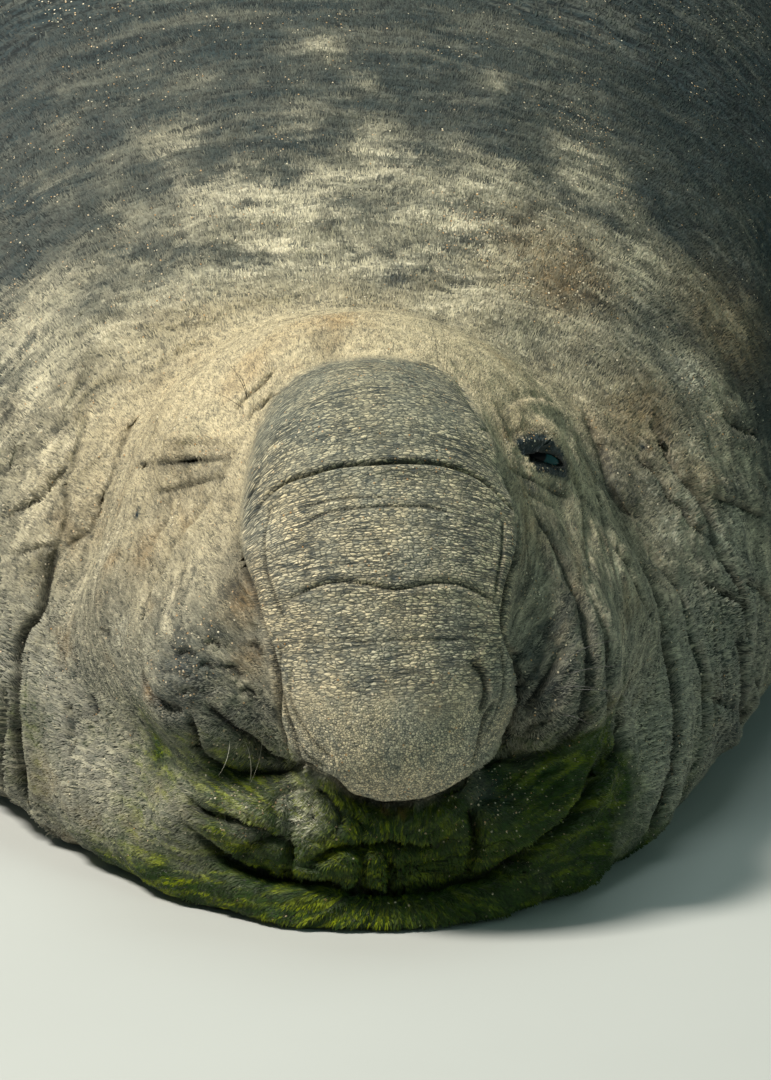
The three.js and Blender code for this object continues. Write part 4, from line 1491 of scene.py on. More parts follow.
def markings_group(palette: Palette) -> NodeTree:
    """The markings that skin and coat share: zones, cream streaks, mottling and stain.

    Args:
        palette: The colours.

    Returns:
        The group's tree.
    """
    graph, source = node_group(
        "Markings",
        {"Lie": PLACE, "Zones": COLOUR, "More Zones": COLOUR, "Spots": COLOUR},
        {"Color": COLOUR, "Flipper": COLOUR},
    )
    lie = source.outputs["Lie"]
    tan, stain, nose = graph.split(source.outputs["Zones"])
    shade, pad, low = graph.split(source.outputs["More Zones"])
    dark, ochre, pale = graph.split(source.outputs["Spots"])
    wide = graph.warped(lie, 5.0, 0.09)
    streaks = graph.noise(graph.scaled(wide, (42.0, 8.0, 8.0)), 1.0, 4.0, 0.62)
    flecks = graph.noise(graph.scaled(graph.warped(lie, 30.0, 0.02), (120.0, 42.0, 42.0)), 1.0, 3.0, 0.6)
    patches = graph.rise(graph.noise(lie, 4.5, 3.0), 0.34, 0.60)
    streak = graph.times(graph.rise(streaks, 0.50, 0.62), graph.math("MULTIPLY_ADD", patches, 0.85, 0.1))
    fleck = graph.times(graph.rise(flecks, 0.50, 0.64), graph.math("MULTIPLY_ADD", patches, 0.35, 0.2))
    streak = graph.math("MAXIMUM", streak, fleck)
    mottle = graph.noise(graph.scaled(wide, (1.4, 0.7, 0.7)), 14.0, 6.0, 0.66)
    coat = graph.mix(graph.rise(mottle, 0.36, 0.66), palette.coat, palette.coat_light)
    # the shade zone darkens the coat towards a dark blue-grey: partly painted shade
    coat = graph.mix(graph.rise(shade, 0.0, 1.0, 0.0, 0.9), coat, palette.shade_slate)
    depth, around, height = graph.add("ShaderNodeSeparateXYZ", {0: lie}).outputs
    rear = graph.mix(graph.rise(mottle, 0.34, 0.68), palette.rear, palette.rear_light)
    coat = graph.mix(graph.rise(depth, 1.0, 1.9, 0.0, 0.85), coat, rear)
    # the cream streaks fade where the shade is painted
    coat = graph.mix(graph.times(streak, graph.rise(shade, 0.0, 1.0, 0.9, 0.13)), coat, palette.cream)
    blotch = graph.rise(graph.noise(lie, 10.0, 6.0, 0.66), 0.46, 0.74)
    face = graph.mix(blotch, palette.tan, palette.tan_deep)
    colour = graph.mix(tan, coat, face)
    strokes = graph.noise(graph.scaled(graph.warped(lie, 22.0, 0.03), (58.0, 240.0, 240.0)), 1.0, 3.0, 0.6)
    tips = graph.rise(strokes, 0.48, 0.60)
    throat = graph.mix(tips, palette.throat, palette.throat_light)
    colour = graph.mix(graph.times(low, 0.85), colour, throat)
    near = graph.rise(depth, 0.55, 0.15)
    rusty = graph.times(graph.rise(graph.noise(lie, 8.0, 4.0, 0.6), 0.54, 0.72), near)
    colour = graph.mix(graph.times(rusty, 0.35), colour, palette.ochre)
    freckles = graph.rise(graph.noise(lie, 110.0, 3.0), 0.46, 0.60)
    dots = graph.times(pad, graph.math("MULTIPLY_ADD", freckles, 0.6, 0.08))
    colour = graph.mix(dots, colour, palette.pad)
    bright = graph.rise(graph.noise(graph.scaled(lie, (0.5, 1.0, 1.0)), 55.0, 4.0, 0.62), 0.46, 0.68)
    # the bright moss fades towards the animal's left, the shaded side: painted shade
    bright = graph.times(bright, graph.rise(around, 0.24, -0.06, 0.40, 1.0))
    green = graph.mix(bright, palette.stain, palette.stain_bright)
    colour = graph.mix(graph.times(stain, 0.95), colour, green)
    worn = graph.rise(graph.noise(lie, 14.0, 5.0, 0.65), 0.38, 0.66)
    dome = graph.mix(worn, palette.nose, palette.nose_grey)
    dome = graph.mix(graph.rise(height, 0.34, 0.46, 0.0, 0.8), dome, rgb(0.60, 0.64, 0.64), "MULTIPLY")
    colour = graph.mix(nose, colour, dome)
    ragged = graph.rise(graph.noise(lie, 170.0, 3.0, 0.6), 0.35, 0.65, 0.55, 1.25)
    smooth = graph.rise(dark, 0.85, 0.95)
    streaked = graph.rise(strokes, 0.44, 0.60, 0.25, 1.2)
    edges = (streaked, ragged, graph.math("MAXIMUM", ragged, smooth))
    # the dark tint lays dark skin and painted shade alike
    tints = ((palette.pale, pale), (palette.ochre, ochre), (palette.dark, dark))
    for edge, (tint, wanted) in zip(edges, tints):
        share = graph.math("MINIMUM", graph.times(wanted, edge), 1.0)
        colour = graph.mix(share, colour, tint)
    ridged = graph.noise(graph.scaled(graph.warped(lie, 9.0, 0.03), (9.0, 60.0, 60.0)), 1.0, 4.0, 0.6)
    flipper = graph.mix(graph.rise(ridged, 0.34, 0.70), palette.flipper, palette.flipper_light)
    return close_group(graph, {"Color": colour, "Flipper": flipper})


def grain_group() -> NodeTree:
    """Short flat hairs in small ruffles across the lie of the coat, as a tone and a height.

    Returns:
        The group's tree.
    """
    graph, source = node_group(
        "Hair Grain",
        {"Lie": PLACE, "Ruffle": VALUE},
        {"Tone": VALUE, "Height": VALUE},
    )
    bent = graph.warped(source.outputs["Lie"], 18.0, 0.025)
    hairs = graph.noise(graph.scaled(bent, (170.0, 620.0, 620.0)), 1.0, 2.0, 0.6)
    clumps = graph.noise(graph.scaled(bent, (75.0, 210.0, 210.0)), 1.0, 3.0, 0.6)
    ruffles = graph.noise(graph.scaled(bent, (150.0, 34.0, 34.0)), 1.0, 3.0, 0.55)
    ruffled = graph.times(ruffles, source.outputs["Ruffle"])
    height = graph.math("MULTIPLY_ADD", clumps, 1.1, hairs)
    height = graph.math("MULTIPLY_ADD", ruffled, 2.0, height)
    tone = graph.rise(graph.math("SUBTRACT", height, source.outputs["Ruffle"]), 0.75, 1.35)
    return close_group(graph, {"Tone": tone, "Height": height})


def cracks_group() -> NodeTree:
    """Bare dry hide: rows of pebbles across the proboscis, round grains at its tip, dark lines between them.

    Returns:
        The group's tree.
    """
    graph, source = node_group(
        "Cracked Hide",
        {"Across": PLACE, "Place": PLACE},
        {"Crack": VALUE, "Grain": VALUE, "Height": VALUE},
    )
    place = source.outputs["Place"]
    bent = graph.warped(graph.warped(source.outputs["Across"], 6.0, 0.012), 70.0, 0.0035)
    height = graph.add("ShaderNodeSeparateXYZ", {0: place}).outputs[2]
    tip = graph.rise(graph.math("MULTIPLY_ADD", graph.noise(place, 20.0), 0.05, height), 0.275, 0.215)
    gaps, shades, domes = [], [], []
    for along, across in ((440.0, 190.0), (500.0, 420.0)):
        cells = {"Vector": graph.scaled(bent, (along, across, 1.0)), "Scale": 1.0, "Randomness": 0.95}
        pebble = graph.add("ShaderNodeTexVoronoi", cells)
        edge = graph.add("ShaderNodeTexVoronoi", cells, feature="DISTANCE_TO_EDGE")
        gaps.append(graph.rise(edge.outputs["Distance"], 0.17, 0.04))
        shades.append(graph.split(pebble.outputs["Color"])[0])
        domes.append(pebble.outputs["Distance"])
    gap, shade, dome = (
        graph.add("ShaderNodeMix", {0: tip, 2: upper, 3: lower}).outputs[0]
        for upper, lower in (gaps, shades, domes))
    lines = []
    for along, across in ((330.0, 26.0), (190.0, 14.0)):
        wave = graph.noise(graph.scaled(bent, (along, across, 1.0)), 1.0, 1.0)
        off = graph.math("ABSOLUTE", graph.math("SUBTRACT", wave, 0.5))
        lines.append(graph.rise(off, 0.030, 0.006))
    patchy = graph.rise(graph.noise(place, 22.0, 3.0), 0.35, 0.6, 0.35, 1.0)
    line = graph.times(graph.math("MAXIMUM", lines[0], lines[1]), patchy)
    line = graph.times(line, graph.rise(tip, 0.0, 1.0, 1.0, 0.25))
    crack = graph.math("MAXIMUM", line, graph.times(gap, 0.85))
    fine = graph.noise(place, 700.0, 2.0, 0.6)
    shine = graph.math("MULTIPLY_ADD", shade, 0.8, graph.times(fine, 0.35))
    raised = graph.math("MULTIPLY_ADD", dome, -1.0, graph.times(fine, 0.3))
    raised = graph.math("MULTIPLY_ADD", line, -0.9, raised)
    return close_group(graph, {"Crack": crack, "Grain": shine, "Height": raised})


def grit_group() -> NodeTree:
    """Scattered sand grains stuck to the hide.

    Returns:
        The group's tree.
    """
    graph, source = node_group(
        "Grit",
        {"Place": PLACE, "Amount": VALUE},
        {"Mask": VALUE, "Color": COLOUR},
    )
    place = source.outputs["Place"]
    grains = graph.add("ShaderNodeTexVoronoi", {"Vector": place, "Scale": 330.0})
    dots = graph.rise(grains.outputs["Distance"], 0.42, 0.28)
    chosen = graph.split(grains.outputs["Color"])
    patches = graph.rise(graph.noise(place, 14.0, 4.0, 0.6), 0.45, 0.7, 0.02, 0.22)
    wanted = graph.math("MULTIPLY_ADD", source.outputs["Amount"], 0.8, patches)
    shown = graph.math("LESS_THAN", chosen[0], wanted)
    colour = graph.mix(chosen[1], rgb(0.82, 0.74, 0.56), rgb(0.46, 0.25, 0.09))
    return close_group(graph, {"Mask": graph.times(dots, shown), "Color": colour})


@dataclass(frozen=True)
class Effects:
    """The node groups that the finishes share."""

    markings: NodeTree
    grain: NodeTree
    cracks: NodeTree
    grit: NodeTree

    @classmethod
    def made(cls) -> "Effects":
        """Builds each group once."""
        return cls(markings_group(Palette()), grain_group(), cracks_group(), grit_group())

    def marked(self, graph: Graph) -> Node:
        """Places the markings, fed by the attributes of the mesh."""
        colours = {"Zones": "zones", "More Zones": "more_zones", "Spots": "spots"}
        inputs = {socket: graph.attribute(name).outputs["Color"] for socket, name in colours.items()}
        return graph.group(self.markings, {"Lie": graph.attribute("lie").outputs["Vector"], **inputs})


def new_material(name: str) -> tuple[Material, Graph, Node]:
    """Starts a material.

    Args:
        name: The material's name.

    Returns:
        The material, its graph and its shader.
    """
    material = bpy.data.materials.new(name)
    material.use_nodes = True
    tree = material.node_tree
    return material, Graph(tree), tree.nodes["Principled BSDF"]


@dataclass(frozen=True)
class HideFinish:
    """Short-furred hide, bare and cracked on the proboscis."""

    effects: Effects
    name: str = "hide"

    def material(self) -> Material:
        """Builds the material.

        Returns:
            The material.
        """
        material, graph, shader = new_material(self.name)
        lie, across = (graph.attribute(name).outputs["Vector"] for name in ("lie", "nose_lie"))
        zones, more, spots = (graph.attribute(name).outputs for name in ("zones", "more_zones", "spots"))
        place = graph.add("ShaderNodeTexCoord").outputs["Object"]
        tan, wet, nose = graph.split(zones["Color"])
        dark = graph.split(spots["Color"])[0]
        marks = self.effects.marked(graph).outputs
        hairs = graph.group(self.effects.grain, {"Lie": lie, "Ruffle": graph.rise(tan, 0.2, 0.9, 0.8, 0.1)})
        cracks = graph.group(self.effects.cracks, {"Across": across, "Place": place})
        grit = graph.group(self.effects.grit, {"Place": place, "Amount": spots["Alpha"]})
        furred = graph.math("SUBTRACT", 1.0, nose)
        palette = Palette()
        tones = graph.mix(hairs.outputs["Tone"], palette.hair_gap, palette.hair_tip)
        colour = graph.mix(graph.times(furred, 0.85), marks["Color"], tones, "MULTIPLY")
        colour = graph.mix(more["Alpha"], colour, marks["Flipper"])
        sandy = graph.mix(cracks.outputs["Grain"], palette.pebble_dark, palette.pebble_bright)
        colour = graph.mix(nose, colour, sandy, "MULTIPLY")
        gap = graph.times(cracks.outputs["Crack"], graph.times(nose, 0.9))
        colour = graph.mix(gap, colour, palette.nose_gap)
        colour = graph.mix(graph.times(grit.outputs["Mask"], 0.92), colour, grit.outputs["Color"])
        # painted shade in the folds
        colour = graph.mix(graph.times(zones["Alpha"], 0.95), colour, palette.crease_shade, "MULTIPLY")
        graph.feed(shader.inputs["Base Color"], colour)
        damp = graph.math("MAXIMUM", wet, dark)
        graph.feed(shader.inputs["Roughness"], graph.rise(damp, 0.3, 1.0, 0.85, 0.42))
        shader.inputs["Specular IOR Level"].default_value = 0.35
        height = graph.times(hairs.outputs["Height"], graph.times(furred, 0.0014))
        height = graph.math("MULTIPLY_ADD", cracks.outputs["Height"], graph.times(nose, 0.0015), height)
        height = graph.math("MULTIPLY_ADD", grit.outputs["Mask"], 0.0008, height)
        bump = graph.add("ShaderNodeBump", {"Height": height, "Strength": 0.9, "Distance": 1.0})
        graph.feed(shader.inputs["Normal"], bump.outputs[0])
        return material


@dataclass(frozen=True)
class CoatFinish:
    """Tufts of hair in the colours of the skin under them, paler at the tips."""

    effects: Effects
    name: str = "coat"

    def material(self) -> Material:
        """Builds the material.

        Returns:
            The material.
        """
        material, graph, shader = new_material(self.name)
        zones, more = (graph.attribute(name).outputs for name in ("zones", "more_zones"))
        marks = self.effects.marked(graph).outputs
        tone = graph.attribute("tone").outputs["Vector"]
        shade, tip, _ = graph.add("ShaderNodeSeparateXYZ", {0: tone}).outputs
        palette = Palette()
        tones = graph.mix(shade, palette.tuft_dark, palette.tuft_bright)
        colour = graph.mix(1.0, marks["Color"], tones, "MULTIPLY")
        colour = graph.mix(more["Alpha"], colour, marks["Flipper"])
        low, stain = graph.split(more["Color"])[2], graph.split(zones["Color"])[1]
        dry = graph.times(graph.math("MULTIPLY_ADD", low, 0.50, 0.05), graph.math("SUBTRACT", 1.0, stain))
        colour = graph.mix(graph.times(tip, dry), colour, palette.dry_tip)
        # painted shade in the folds
        colour = graph.mix(graph.times(zones["Alpha"], 0.85), colour, palette.crease_shade, "MULTIPLY")
        graph.feed(shader.inputs["Base Color"], colour)
        shader.inputs["Roughness"].default_value = 0.6
        shader.inputs["Specular IOR Level"].default_value = 0.15
        return material


@dataclass(frozen=True)
class EyeFinish:
    """A wet dark eye: a nearly black iris with a blue-green cast round a wide pupil."""

    look: Triple
    middle: Triple
    name: str

    def material(self) -> Material:
        """Builds the material.

        Returns:
            The material.
        """
        material, graph, shader = new_material(self.name)
        place = graph.add("ShaderNodeTexCoord").outputs["Object"]
        out = graph.vector("SUBTRACT", place, self.middle).outputs[0]
        out = graph.vector("NORMALIZE", out).outputs[0]
        facing = graph.vector("DOT_PRODUCT", out, self.look).outputs["Value"]
        rays = graph.noise(graph.scaled(out, (90.0, 20.0, 90.0)), 1.0, 3.0)
        # the blue-green of the iris stands in partly for the teal glint on the wet eye: painted reflection
        iris = graph.mix(rays, rgb(0.004, 0.030, 0.038), rgb(0.012, 0.080, 0.085))
        colour = graph.mix(graph.rise(facing, 0.955, 0.975), iris, rgb(0.002, 0.003, 0.004))
        colour = graph.mix(graph.rise(facing, 0.72, 0.66), colour, rgb(0.014, 0.018, 0.018))
        graph.feed(shader.inputs["Base Color"], colour)
        graph.feed(shader.inputs["Roughness"], graph.rise(rays, 0.2, 0.9, 0.03, 0.07))
        shader.inputs["IOR"].default_value = 1.376
        shader.inputs["Specular IOR Level"].default_value = 0.12
        shader.inputs["Coat Weight"].default_value = 0.04
        shader.inputs["Coat Roughness"].default_value = 0.02
        return material


@dataclass(frozen=True)
class HornFinish:
    """Dark horn with growth lines, worn paler at the tip."""

    name: str = "horn"

    def material(self) -> Material:
        """Builds the material.

        Returns:
            The material.
        """
        material, graph, shader = new_material(self.name)
        place = graph.add("ShaderNodeTexCoord").outputs["Object"]
        lines = graph.noise(graph.scaled(place, (160.0, 900.0, 160.0)), 1.0, 3.0)
        worn = graph.noise(place, 60.0, 3.0)
        colour = graph.mix(graph.rise(lines, 0.35, 0.7), rgb(0.016, 0.013, 0.011), rgb(0.055, 0.043, 0.032))
        colour = graph.mix(graph.rise(worn, 0.55, 0.8, 0.0, 0.5), colour, rgb(0.16, 0.13, 0.09))
        graph.feed(shader.inputs["Base Color"], colour)
        graph.feed(shader.inputs["Roughness"], graph.rise(worn, 0.3, 0.7, 0.3, 0.55))
        bump = graph.add("ShaderNodeBump", {"Height": graph.times(lines, 0.0004), "Distance": 1.0})
        graph.feed(shader.inputs["Normal"], bump.outputs[0])
        return material


@dataclass(frozen=True)
class WhiskerFinish:
    """Stiff hair, dark or pale, mottled along its length."""

    name: str
    dark: Colour
    light: Colour

    def material(self) -> Material:
        """Builds the material.

        Returns:
            The material.
        """
        material, graph, shader = new_material(self.name)
        place = graph.add("ShaderNodeTexCoord").outputs["Object"]
        bands = graph.noise(place, 80.0, 2.0)
        graph.feed(shader.inputs["Base Color"], graph.mix(bands, self.dark, self.light))
        graph.feed(shader.inputs["Roughness"], graph.rise(bands, 0.3, 0.7, 0.3, 0.45))
        return material


def present(surface_object: Object, slot: str, nodes: Sequence[str] = ()) -> None:
    """Makes an object a piece of the animal: it rides on the body, and its slot is logged.

    Args:
        surface_object: The piece.
        slot: Its slot.
        nodes: The solids that it stands in for.
    """
    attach(surface_object, BODY)
    if nodes:
        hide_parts(*nodes)
    faces = len(surface_object.data.polygons)
    LOG.info("%s: %d faces, slot %s", surface_object.name, faces, slot)


@dataclass
class Eye:
    """One eyeball with its cornea."""

    side: str
    look: Triple = (0.05, -0.97, 0.12)
    segments: int = 64
    iris_share: float = 0.74
    cornea_rise: float = 0.035

    def build(self, hide: Hide) -> Object:
        """Makes the eyeball where the solid eye is.

        Args:
            hide: The skin round it.

        Returns:
            The eyeball.
        """
        sign = 1.0 if self.side == "left" else -1.0
        look = Vector((sign * self.look[0], self.look[1], self.look[2])).normalized()
        middle = hide.eye_middle(self.side)
        work = bmesh.new()
        bmesh.ops.create_uvsphere(work, u_segments=self.segments, v_segments=self.segments // 2, radius=1.0)
        for vert in work.verts:
            facing = vert.co.normalized().dot(look)
            rise = self.cornea_rise * max(0.0, (facing - self.iris_share) / (1.0 - self.iris_share)) ** 0.7
            vert.co = Vector(middle) + vert.co * hide.eye_radius * (1.0 + rise)
        shape = bpy.data.meshes.new("eyeball_" + self.side)
        work.to_mesh(shape)
        work.free()
        shape.polygons.foreach_set("use_smooth", np.ones(len(shape.polygons), bool))
        piece = bpy.data.objects.new("eyeball_" + self.side, shape)
        bpy.context.collection.objects.link(piece)
        finish = EyeFinish(tuple(look), tuple(middle), "eye_" + self.side)
        shape.materials.append(finish.material())
        present(piece, "eye", ["eye_" + self.side])
        return piece


@dataclass
class Claws:
    """The ten claws of the front flippers, rounded from their solids."""

    toes: int = 5
    rounds: int = 2

    def build(self) -> None:
        """Makes one smooth claw over each solid one."""
        horn = HornFinish().material()
        for side in ("left", "right"):
            for toe in range(1, self.toes + 1):
                node = f"claw_{side}_{toe}"
                shape = Surface.of_nodes([node], 0.0)
                shape = welded(shape)
                for _ in range(self.rounds):
                    shape.refine(np.ones(len(shape.triangles), bool))
                    shape.smooth(np.full(len(shape.points), 0.5), 1)
                piece = shape.object(f"horn_{side}_{toe}")
                piece.data.materials.append(horn)
                present(piece, "claw", [node])


def welded(surface: Surface) -> Surface:
    """Joins points that lie on each other."""
    _, first, place = np.unique(np.round(surface.points, 6), axis=0, return_index=True, return_inverse=True)
    return Surface(surface.points[first], place.reshape(-1)[surface.triangles])


@dataclass(frozen=True)
class Tufts:
    """How the tufts of one stretch of the coat are cut."""

    region: Region
    slot: str
    count: int
    length: float
    width: float
    lift: float = 0.05
    stray: float = 0.14


COAT = (
    Tufts(Region.FACE, "hide_face", 98000, 0.0045, 0.0008, 0.03, 0.22),
    Tufts(Region.CHIN, "hide_chin", 98000, 0.0060, 0.0010, 0.035, 0.14),
    Tufts(Region.NECK_LEFT, "hide_body", 98000, 0.0075, 0.0011, 0.03, 0.16),
    Tufts(Region.NECK_RIGHT, "hide_body", 98000, 0.0075, 0.0011, 0.03, 0.16),
    Tufts(Region.BACK, "hide_body", 62000, 0.0120, 0.0023, 0.03, 0.18),
    Tufts(Region.REAR, "hide_body", 40000, 0.0125, 0.0025, 0.03, 0.18),
    Tufts(Region.FLIPPER, "flipper", 30000, 0.0060, 0.0012, 0.03, 0.18),
)


@dataclass
class Coat:
    """Tufts over the skin, each a thin tapered blade lying along the body."""

    hide: Hide
    zones: Zones
    seed: int = 11
    bake_patch: float = 0.003
    clump: float = 0.006  # tufts this close have much the same tone
    face: tuple[Triple, Triple] = ((0.0, 0.31, 0.29), (0.32, 0.35, 0.27))  # middle and radii
    face_floor: float = 0.17
    chin_end: float = 0.30  # depths behind the chin
    neck_end: float = 0.9
    back_end: float = 2.4

    def regions(self, points: Array) -> Array:
        """Which region each place is in.

        Args:
            points: Places on the skin.

        Returns:
            An index into the regions for each place.
        """
        depth = girdle_depth(points)
        flipper = np.zeros(len(points), bool)
        for node in FLIPPERS:
            flipper |= box_distance(points, node) < 0.004
        order = list(Region)
        face = (ellipsoid(points, *self.face) < 1.0) & (points[:, 2] > self.face_floor)
        neck = depth < self.neck_end
        left = neck & (points[:, 0] > 0)
        conditions = [flipper, face, depth < self.chin_end, left, neck, depth < self.back_end]
        names = [Region.FLIPPER, Region.FACE, Region.CHIN, Region.NECK_LEFT, Region.NECK_RIGHT, Region.BACK]
        return np.select(conditions, [order.index(name) for name in names], order.index(Region.REAR))

    def build(self, material: Material) -> None:
        """Makes every piece of the coat.

        Args:
            material: The coat's material.
        """
        surface = self.hide.surface
        middles = surface.middles()
        region = self.regions(middles)
        normals = surface.normals()
        areas = 0.5 * np.linalg.norm(surface.face_normals(), axis=1)
        bare = nose_share(middles) > 0.6
        bare |= self.hide.opening[surface.triangles].max(axis=1) > 0.25
        bare |= self.zones.spots[surface.triangles, Tint.DARK.value].max(axis=1) > 0.9
        bare |= middles[:, 2] < 0.006
        order = list(Region)
        for tufts in COAT:
            weight = np.where((region == order.index(tufts.region)) & ~bare, areas, 0.0)
            self._piece(tufts, weight, normals, material)

    def _piece(
        self, tufts: Tufts, weight: Array, normals: Array, material: Material
    ) -> Object:
        """Makes one piece.

        Args:
            tufts: How its tufts are cut.
            weight: The share of the tufts that each triangle gets.
            normals: The skin's normals.
            material: The coat's material.

        Returns:
            The piece.
        """
        draw = np.random.default_rng(self.seed + list(Region).index(tufts.region))
        surface = self.hide.surface
        total = np.cumsum(weight)
        chosen = np.searchsorted(total, draw.random(tufts.count) * total[-1])
        first, second = draw.random((2, tufts.count))
        over = first + second > 1.0
        first, second = np.where(over, 1.0 - first, first), np.where(over, 1.0 - second, second)
        shares = np.stack([1.0 - first - second, first, second], axis=1)[:, :, None]
        corners = surface.triangles[chosen]
        root = (surface.points[corners] * shares).sum(axis=1)
        up = unit((normals[corners] * shares).sum(axis=1))
        comb = comb_of(root, up)
        side = np.cross(up, comb)
        swing = 0.18 * layered(root, 0.05, 70) + tufts.stray * draw.standard_normal(tufts.count)
        ahead = comb * np.cos(swing)[:, None] + side * np.sin(swing)[:, None]
        side = np.cross(up, ahead)
        size = draw.uniform(0.65, 1.3, tufts.count)[:, None]
        length, width = tufts.length * size, tufts.width * np.sqrt(size)
        lift = tufts.lift * draw.uniform(0.5, 1.5, tufts.count)[:, None]
        middle = root + ahead * length * 0.4 + up * (length * lift + 0.0003)
        tip = root + ahead * length + up * (length * lift * 1.3 + 0.0002)
        base = root - up * 0.0006
        points = np.stack(
            [base, middle - side * width * 0.5, middle + side * width * 0.5, tip], axis=1).reshape(-1, 3)
        points[:, 2] = np.maximum(points[:, 2], 0.0005)
        blade = np.array([[0, 1, 2], [1, 3, 2]])
        triangles = (blade[None] + 4 * np.arange(tufts.count)[:, None, None]).reshape(-1, 3)
        piece = Surface(points, triangles).object("fur_" + tufts.region.value)
        values = {name: (value[corners] * shares).sum(axis=1) for name, value in self.zones.colours().items()}
        tone = np.zeros((tufts.count, 4, 3))
        clump = 0.5 + 0.7 * grain(root, self.clump, 90)
        tone[:, :, 0] = np.clip(0.5 * draw.random(tufts.count) + 0.5 * clump, 0.0, 1.0)[:, None]
        tone[:, :, 1] = np.array([0.0, 0.4, 0.4, 1.0])
        write_attributes(
            piece.data,
            {"lie": np.repeat(lie_of(root), 4, axis=0), "tone": tone.reshape(-1, 3)},
            {name: np.repeat(value, 4, axis=0) for name, value in values.items()},
        )
        self._bake_map(piece.data, root)
        piece.data.materials.append(material)
        present(piece, tufts.slot)
        return piece

    def _bake_map(self, mesh: Mesh, root: Array) -> None:
        """Gives each tuft a small patch at its root's place on the skin unrolled round its spine.

        Args:
            mesh: The tufts.
            root: Their roots, one to a row.
        """
        across = np.arctan2(root[:, 0], root[:, 2] - 0.2) / (2.0 * math.pi) + 0.5
        along = root[:, 1] - root[:, 1].min()
        along /= max(along.max(), 1e-6)
        middle = np.stack([across, along], axis=1) * (1.0 - 2.0 * self.bake_patch) + self.bake_patch
        corner = self.bake_patch * 0.5 * np.array([[0, -1], [-1, 0], [1, 0], [0, 1]])
        places = (middle[:, None, :] + corner[None, :, :]).reshape(-1, 2)
        layer = mesh.uv_layers.new(name="OFBake")
        vertex = np.empty(len(mesh.loops), np.int32)
        mesh.loops.foreach_get("vertex_index", vertex)
        layer.data.foreach_set("uv", places[vertex].astype(np.float32).ravel())


@dataclass(frozen=True)
class Hair:
    """A stiff hair traced on the photograph: its root's pixel and its tip's, with a bow between them."""

    root: Pixel
    tip: Pixel
    bow: float = 6.0
    thickness: float = 0.0008
    pale: bool = False


HAIRS = (
    Hair((560, 662), (642, 660), 8.0), Hair((565, 675), (645, 672), 7.0),
    Hair((560, 715), (592, 718), 4.0), Hair((545, 645), (600, 625), 5.0),
    Hair((575, 690), (640, 702), 5.0), Hair((550, 690), (610, 694), 4.0),
    Hair((230, 740), (214, 764), 3.0, pale=True), Hair((246, 742), (236, 768), 3.0, pale=True),
    Hair((262, 740), (258, 766), 3.0, pale=True), Hair((205, 660), (150, 668), 5.0),
    Hair((222, 690), (168, 704), 5.0), Hair((200, 676), (142, 690), 5.0),
    Hair((248, 700), (205, 728), 4.0), Hair((438, 373), (414, 324), -5.0),
    Hair((447, 372), (449, 330), 3.0), Hair((467, 380), (477, 352), 3.0),
    Hair((247, 398), (222, 362), -4.0), Hair((247, 398), (232, 372), -4.0),
    Hair((242, 408), (216, 394), -3.0), Hair((270, 370), (270, 345), 3.0),
    Hair((443, 373), (432, 340), -3.0),
)


@dataclass
class Whiskers:
    """The stiff hairs of the lips and brows, as thin tapered tubes."""

    hide: Hide
    steps: int = 7
    sides: int = 5
    stand: float = 0.018

    def build(self) -> None:
        """Makes the dark hairs and the pale ones."""
        finishes = {
            False: WhiskerFinish("whisker_dark", rgb(0.012, 0.012, 0.014), rgb(0.05, 0.045, 0.04)),
            True: WhiskerFinish("whisker_pale", rgb(0.28, 0.26, 0.18), rgb(0.6, 0.57, 0.45)),
        }
        tree = self.hide.surface.tree()
        for pale, finish in finishes.items():
            tubes = [self._tube(hair, tree) for hair in HAIRS if hair.pale is pale]
            piece = Surface.joined([tube for tube in tubes if tube]).object(finish.name)
            piece.data.materials.append(finish.material())
            present(piece, "hide_face")

    def _tube(self, hair: Hair, tree: BVHTree) -> Surface | None:
        """One hair, from the skin at its root's pixel to a tip that stands off the skin.

        Args:
            hair: Its pixels and sizes.
            tree: The skin that it stands on.

        Returns:
            The hair, or nothing where its root misses the skin.
        """
        root, normal, _, _ = tree.ray_cast(VIEW.eye, VIEW.ray(*hair.root))
        if root is None:
            return None
        across = Vector(hair.tip) - Vector(hair.root)
        length = across.length * VIEW.metre_per_pixel
        right, up = VIEW.axes
        ahead = (right * across.x - up * across.y).normalized()
        bow = (right * across.y + up * across.x).normalized() * hair.bow * VIEW.metre_per_pixel
        tip = root + ahead * length + normal * self.stand
        points = []
        for step in range(self.steps + 1):
            share = step / self.steps
            centre = root.lerp(tip, share) + bow * 4.0 * share * (1.0 - share) + normal * 0.004 * share
            if step == 0:
                centre = root - normal * 0.002
            thick = hair.thickness * (1.0 - 0.85 * share) * 0.5
            for side in range(self.sides):
                angle = 2.0 * math.pi * side / self.sides
                out = normal * math.cos(angle) + ahead.cross(normal) * math.sin(angle)
                points.append(centre + out * thick)
        triangles = []
        for step in range(self.steps):
            for side in range(self.sides):
                a = step * self.sides + side
                b = step * self.sides + (side + 1) % self.sides
                triangles += [(a, b, b + self.sides), (a, b + self.sides, a + self.sides)]
        for side in range(1, self.sides - 1):
            last = self.steps * self.sides
            triangles += [(0, side + 1, side), (last, last + side, last + side + 1)]
        return Surface(np.array([tuple(point) for point in points]), np.array(triangles, np.int64))


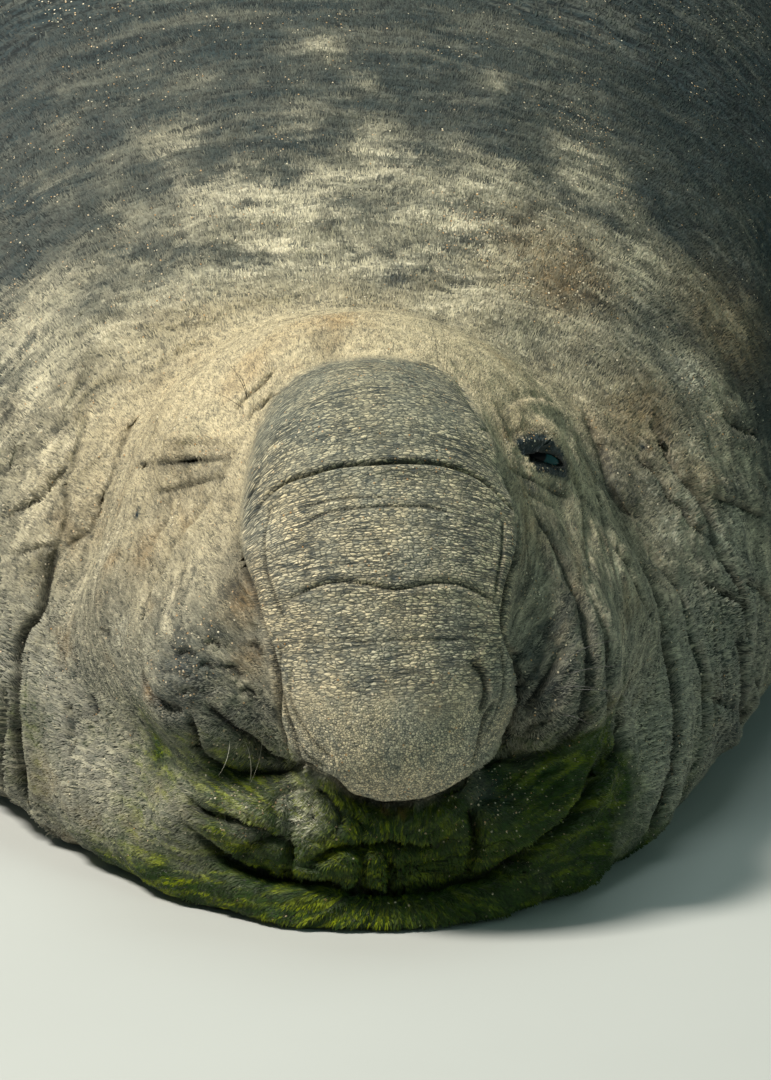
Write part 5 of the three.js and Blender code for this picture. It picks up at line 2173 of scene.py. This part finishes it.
@dataclass
class Studio:
    """A plain pale floor and soft light from the upper left."""

    floor_size: float = 24.0
    floor_drop: float = 0.001

    def build(self) -> None:
        """Lays the floor and hangs the lights."""
        self._floor()
        self._light("key", (-3.0, -1.5, 5.0), 1.2, 480.0, (1.0, 0.955, 0.86))
        self._light("fill", (3.6, -5.0, 2.6), 3.0, 36.0, (0.60, 1.0, 0.86))
        self._light("top", (0.6, 0.8, 5.0), 3.0, 60.0, (0.84, 1.0, 0.98))
        world = bpy.data.worlds.new("studio")
        world.use_nodes = True
        background = world.node_tree.nodes["Background"]
        background.inputs["Color"].default_value = rgb(0.66, 0.94, 0.88)
        background.inputs["Strength"].default_value = 0.14
        bpy.context.scene.world = world
        bpy.context.scene.view_settings.view_transform = "Standard"

    def _floor(self) -> None:
        """A pale floor just under the belly."""
        half = self.floor_size / 2
        corners = [(x * half, y * half, 0.0) for x, y in ((-1, -1), (1, -1), (1, 1), (-1, 1))]
        shape = bpy.data.meshes.new("floor")
        shape.from_pydata(corners, [], [(0, 1, 2, 3)])
        floor = bpy.data.objects.new("floor", shape)
        floor.location.z = -self.floor_drop
        bpy.context.collection.objects.link(floor)
        material, graph, shader = new_material("floor")
        place = graph.add("ShaderNodeTexCoord").outputs["Object"]
        tone = graph.mix(graph.noise(place, 3.0, 4.0), rgb(0.45, 0.46, 0.445), rgb(0.48, 0.49, 0.475))
        graph.feed(shader.inputs["Base Color"], tone)
        shader.inputs["Roughness"].default_value = 0.85
        shape.materials.append(material)

    @staticmethod
    def _light(
        name: str, place: Triple, size: float, power: float, tint: Triple
    ) -> None:
        """A square area light aimed at the head.

        Args:
            name: Its name.
            place: Where it hangs, from a metre behind the chin.
            size: Its side.
            power: Its power in watts.
            tint: Its colour.
        """
        lamp = bpy.data.lights.new(name, "AREA")
        lamp.size, lamp.energy, lamp.color = size, power, tint
        light = bpy.data.objects.new(name, lamp)
        light.location = (place[0], CHIN_Y + 1.0 + place[1], place[2])
        aim = Vector((0.0, CHIN_Y + 0.6, 0.3)) - light.location
        light.rotation_euler = aim.to_track_quat("-Z", "Y").to_euler()
        bpy.context.collection.objects.link(light)


def main() -> None:
    """Builds the animal in order and lights it."""
    logging.basicConfig(level=logging.INFO, format="%(name)s: %(message)s")
    VIEW.place()
    Studio().build()
    effects = Effects.made()

    hide = Hide()
    hide.shape()
    surface = hide.surface
    zones = Zones.of(surface.points, hide.crease_shade, surface.tree())
    skin = surface.object("hide")
    vectors = {"lie": lie_of(surface.points), "nose_lie": nose_lie(surface.points)}
    write_attributes(skin.data, vectors, zones.colours())
    skin.data.materials.append(HideFinish(effects).material())
    present(skin, "hide_body", [*TRUNK, *HEAD, *FLIPPERS])

    for side in ("left", "right"):
        Eye(side).build(hide)
    Claws().build()
    Coat(hide, zones).build(CoatFinish(effects).material())
    Whiskers(hide).build()


if __name__ == "__main__":
    main()
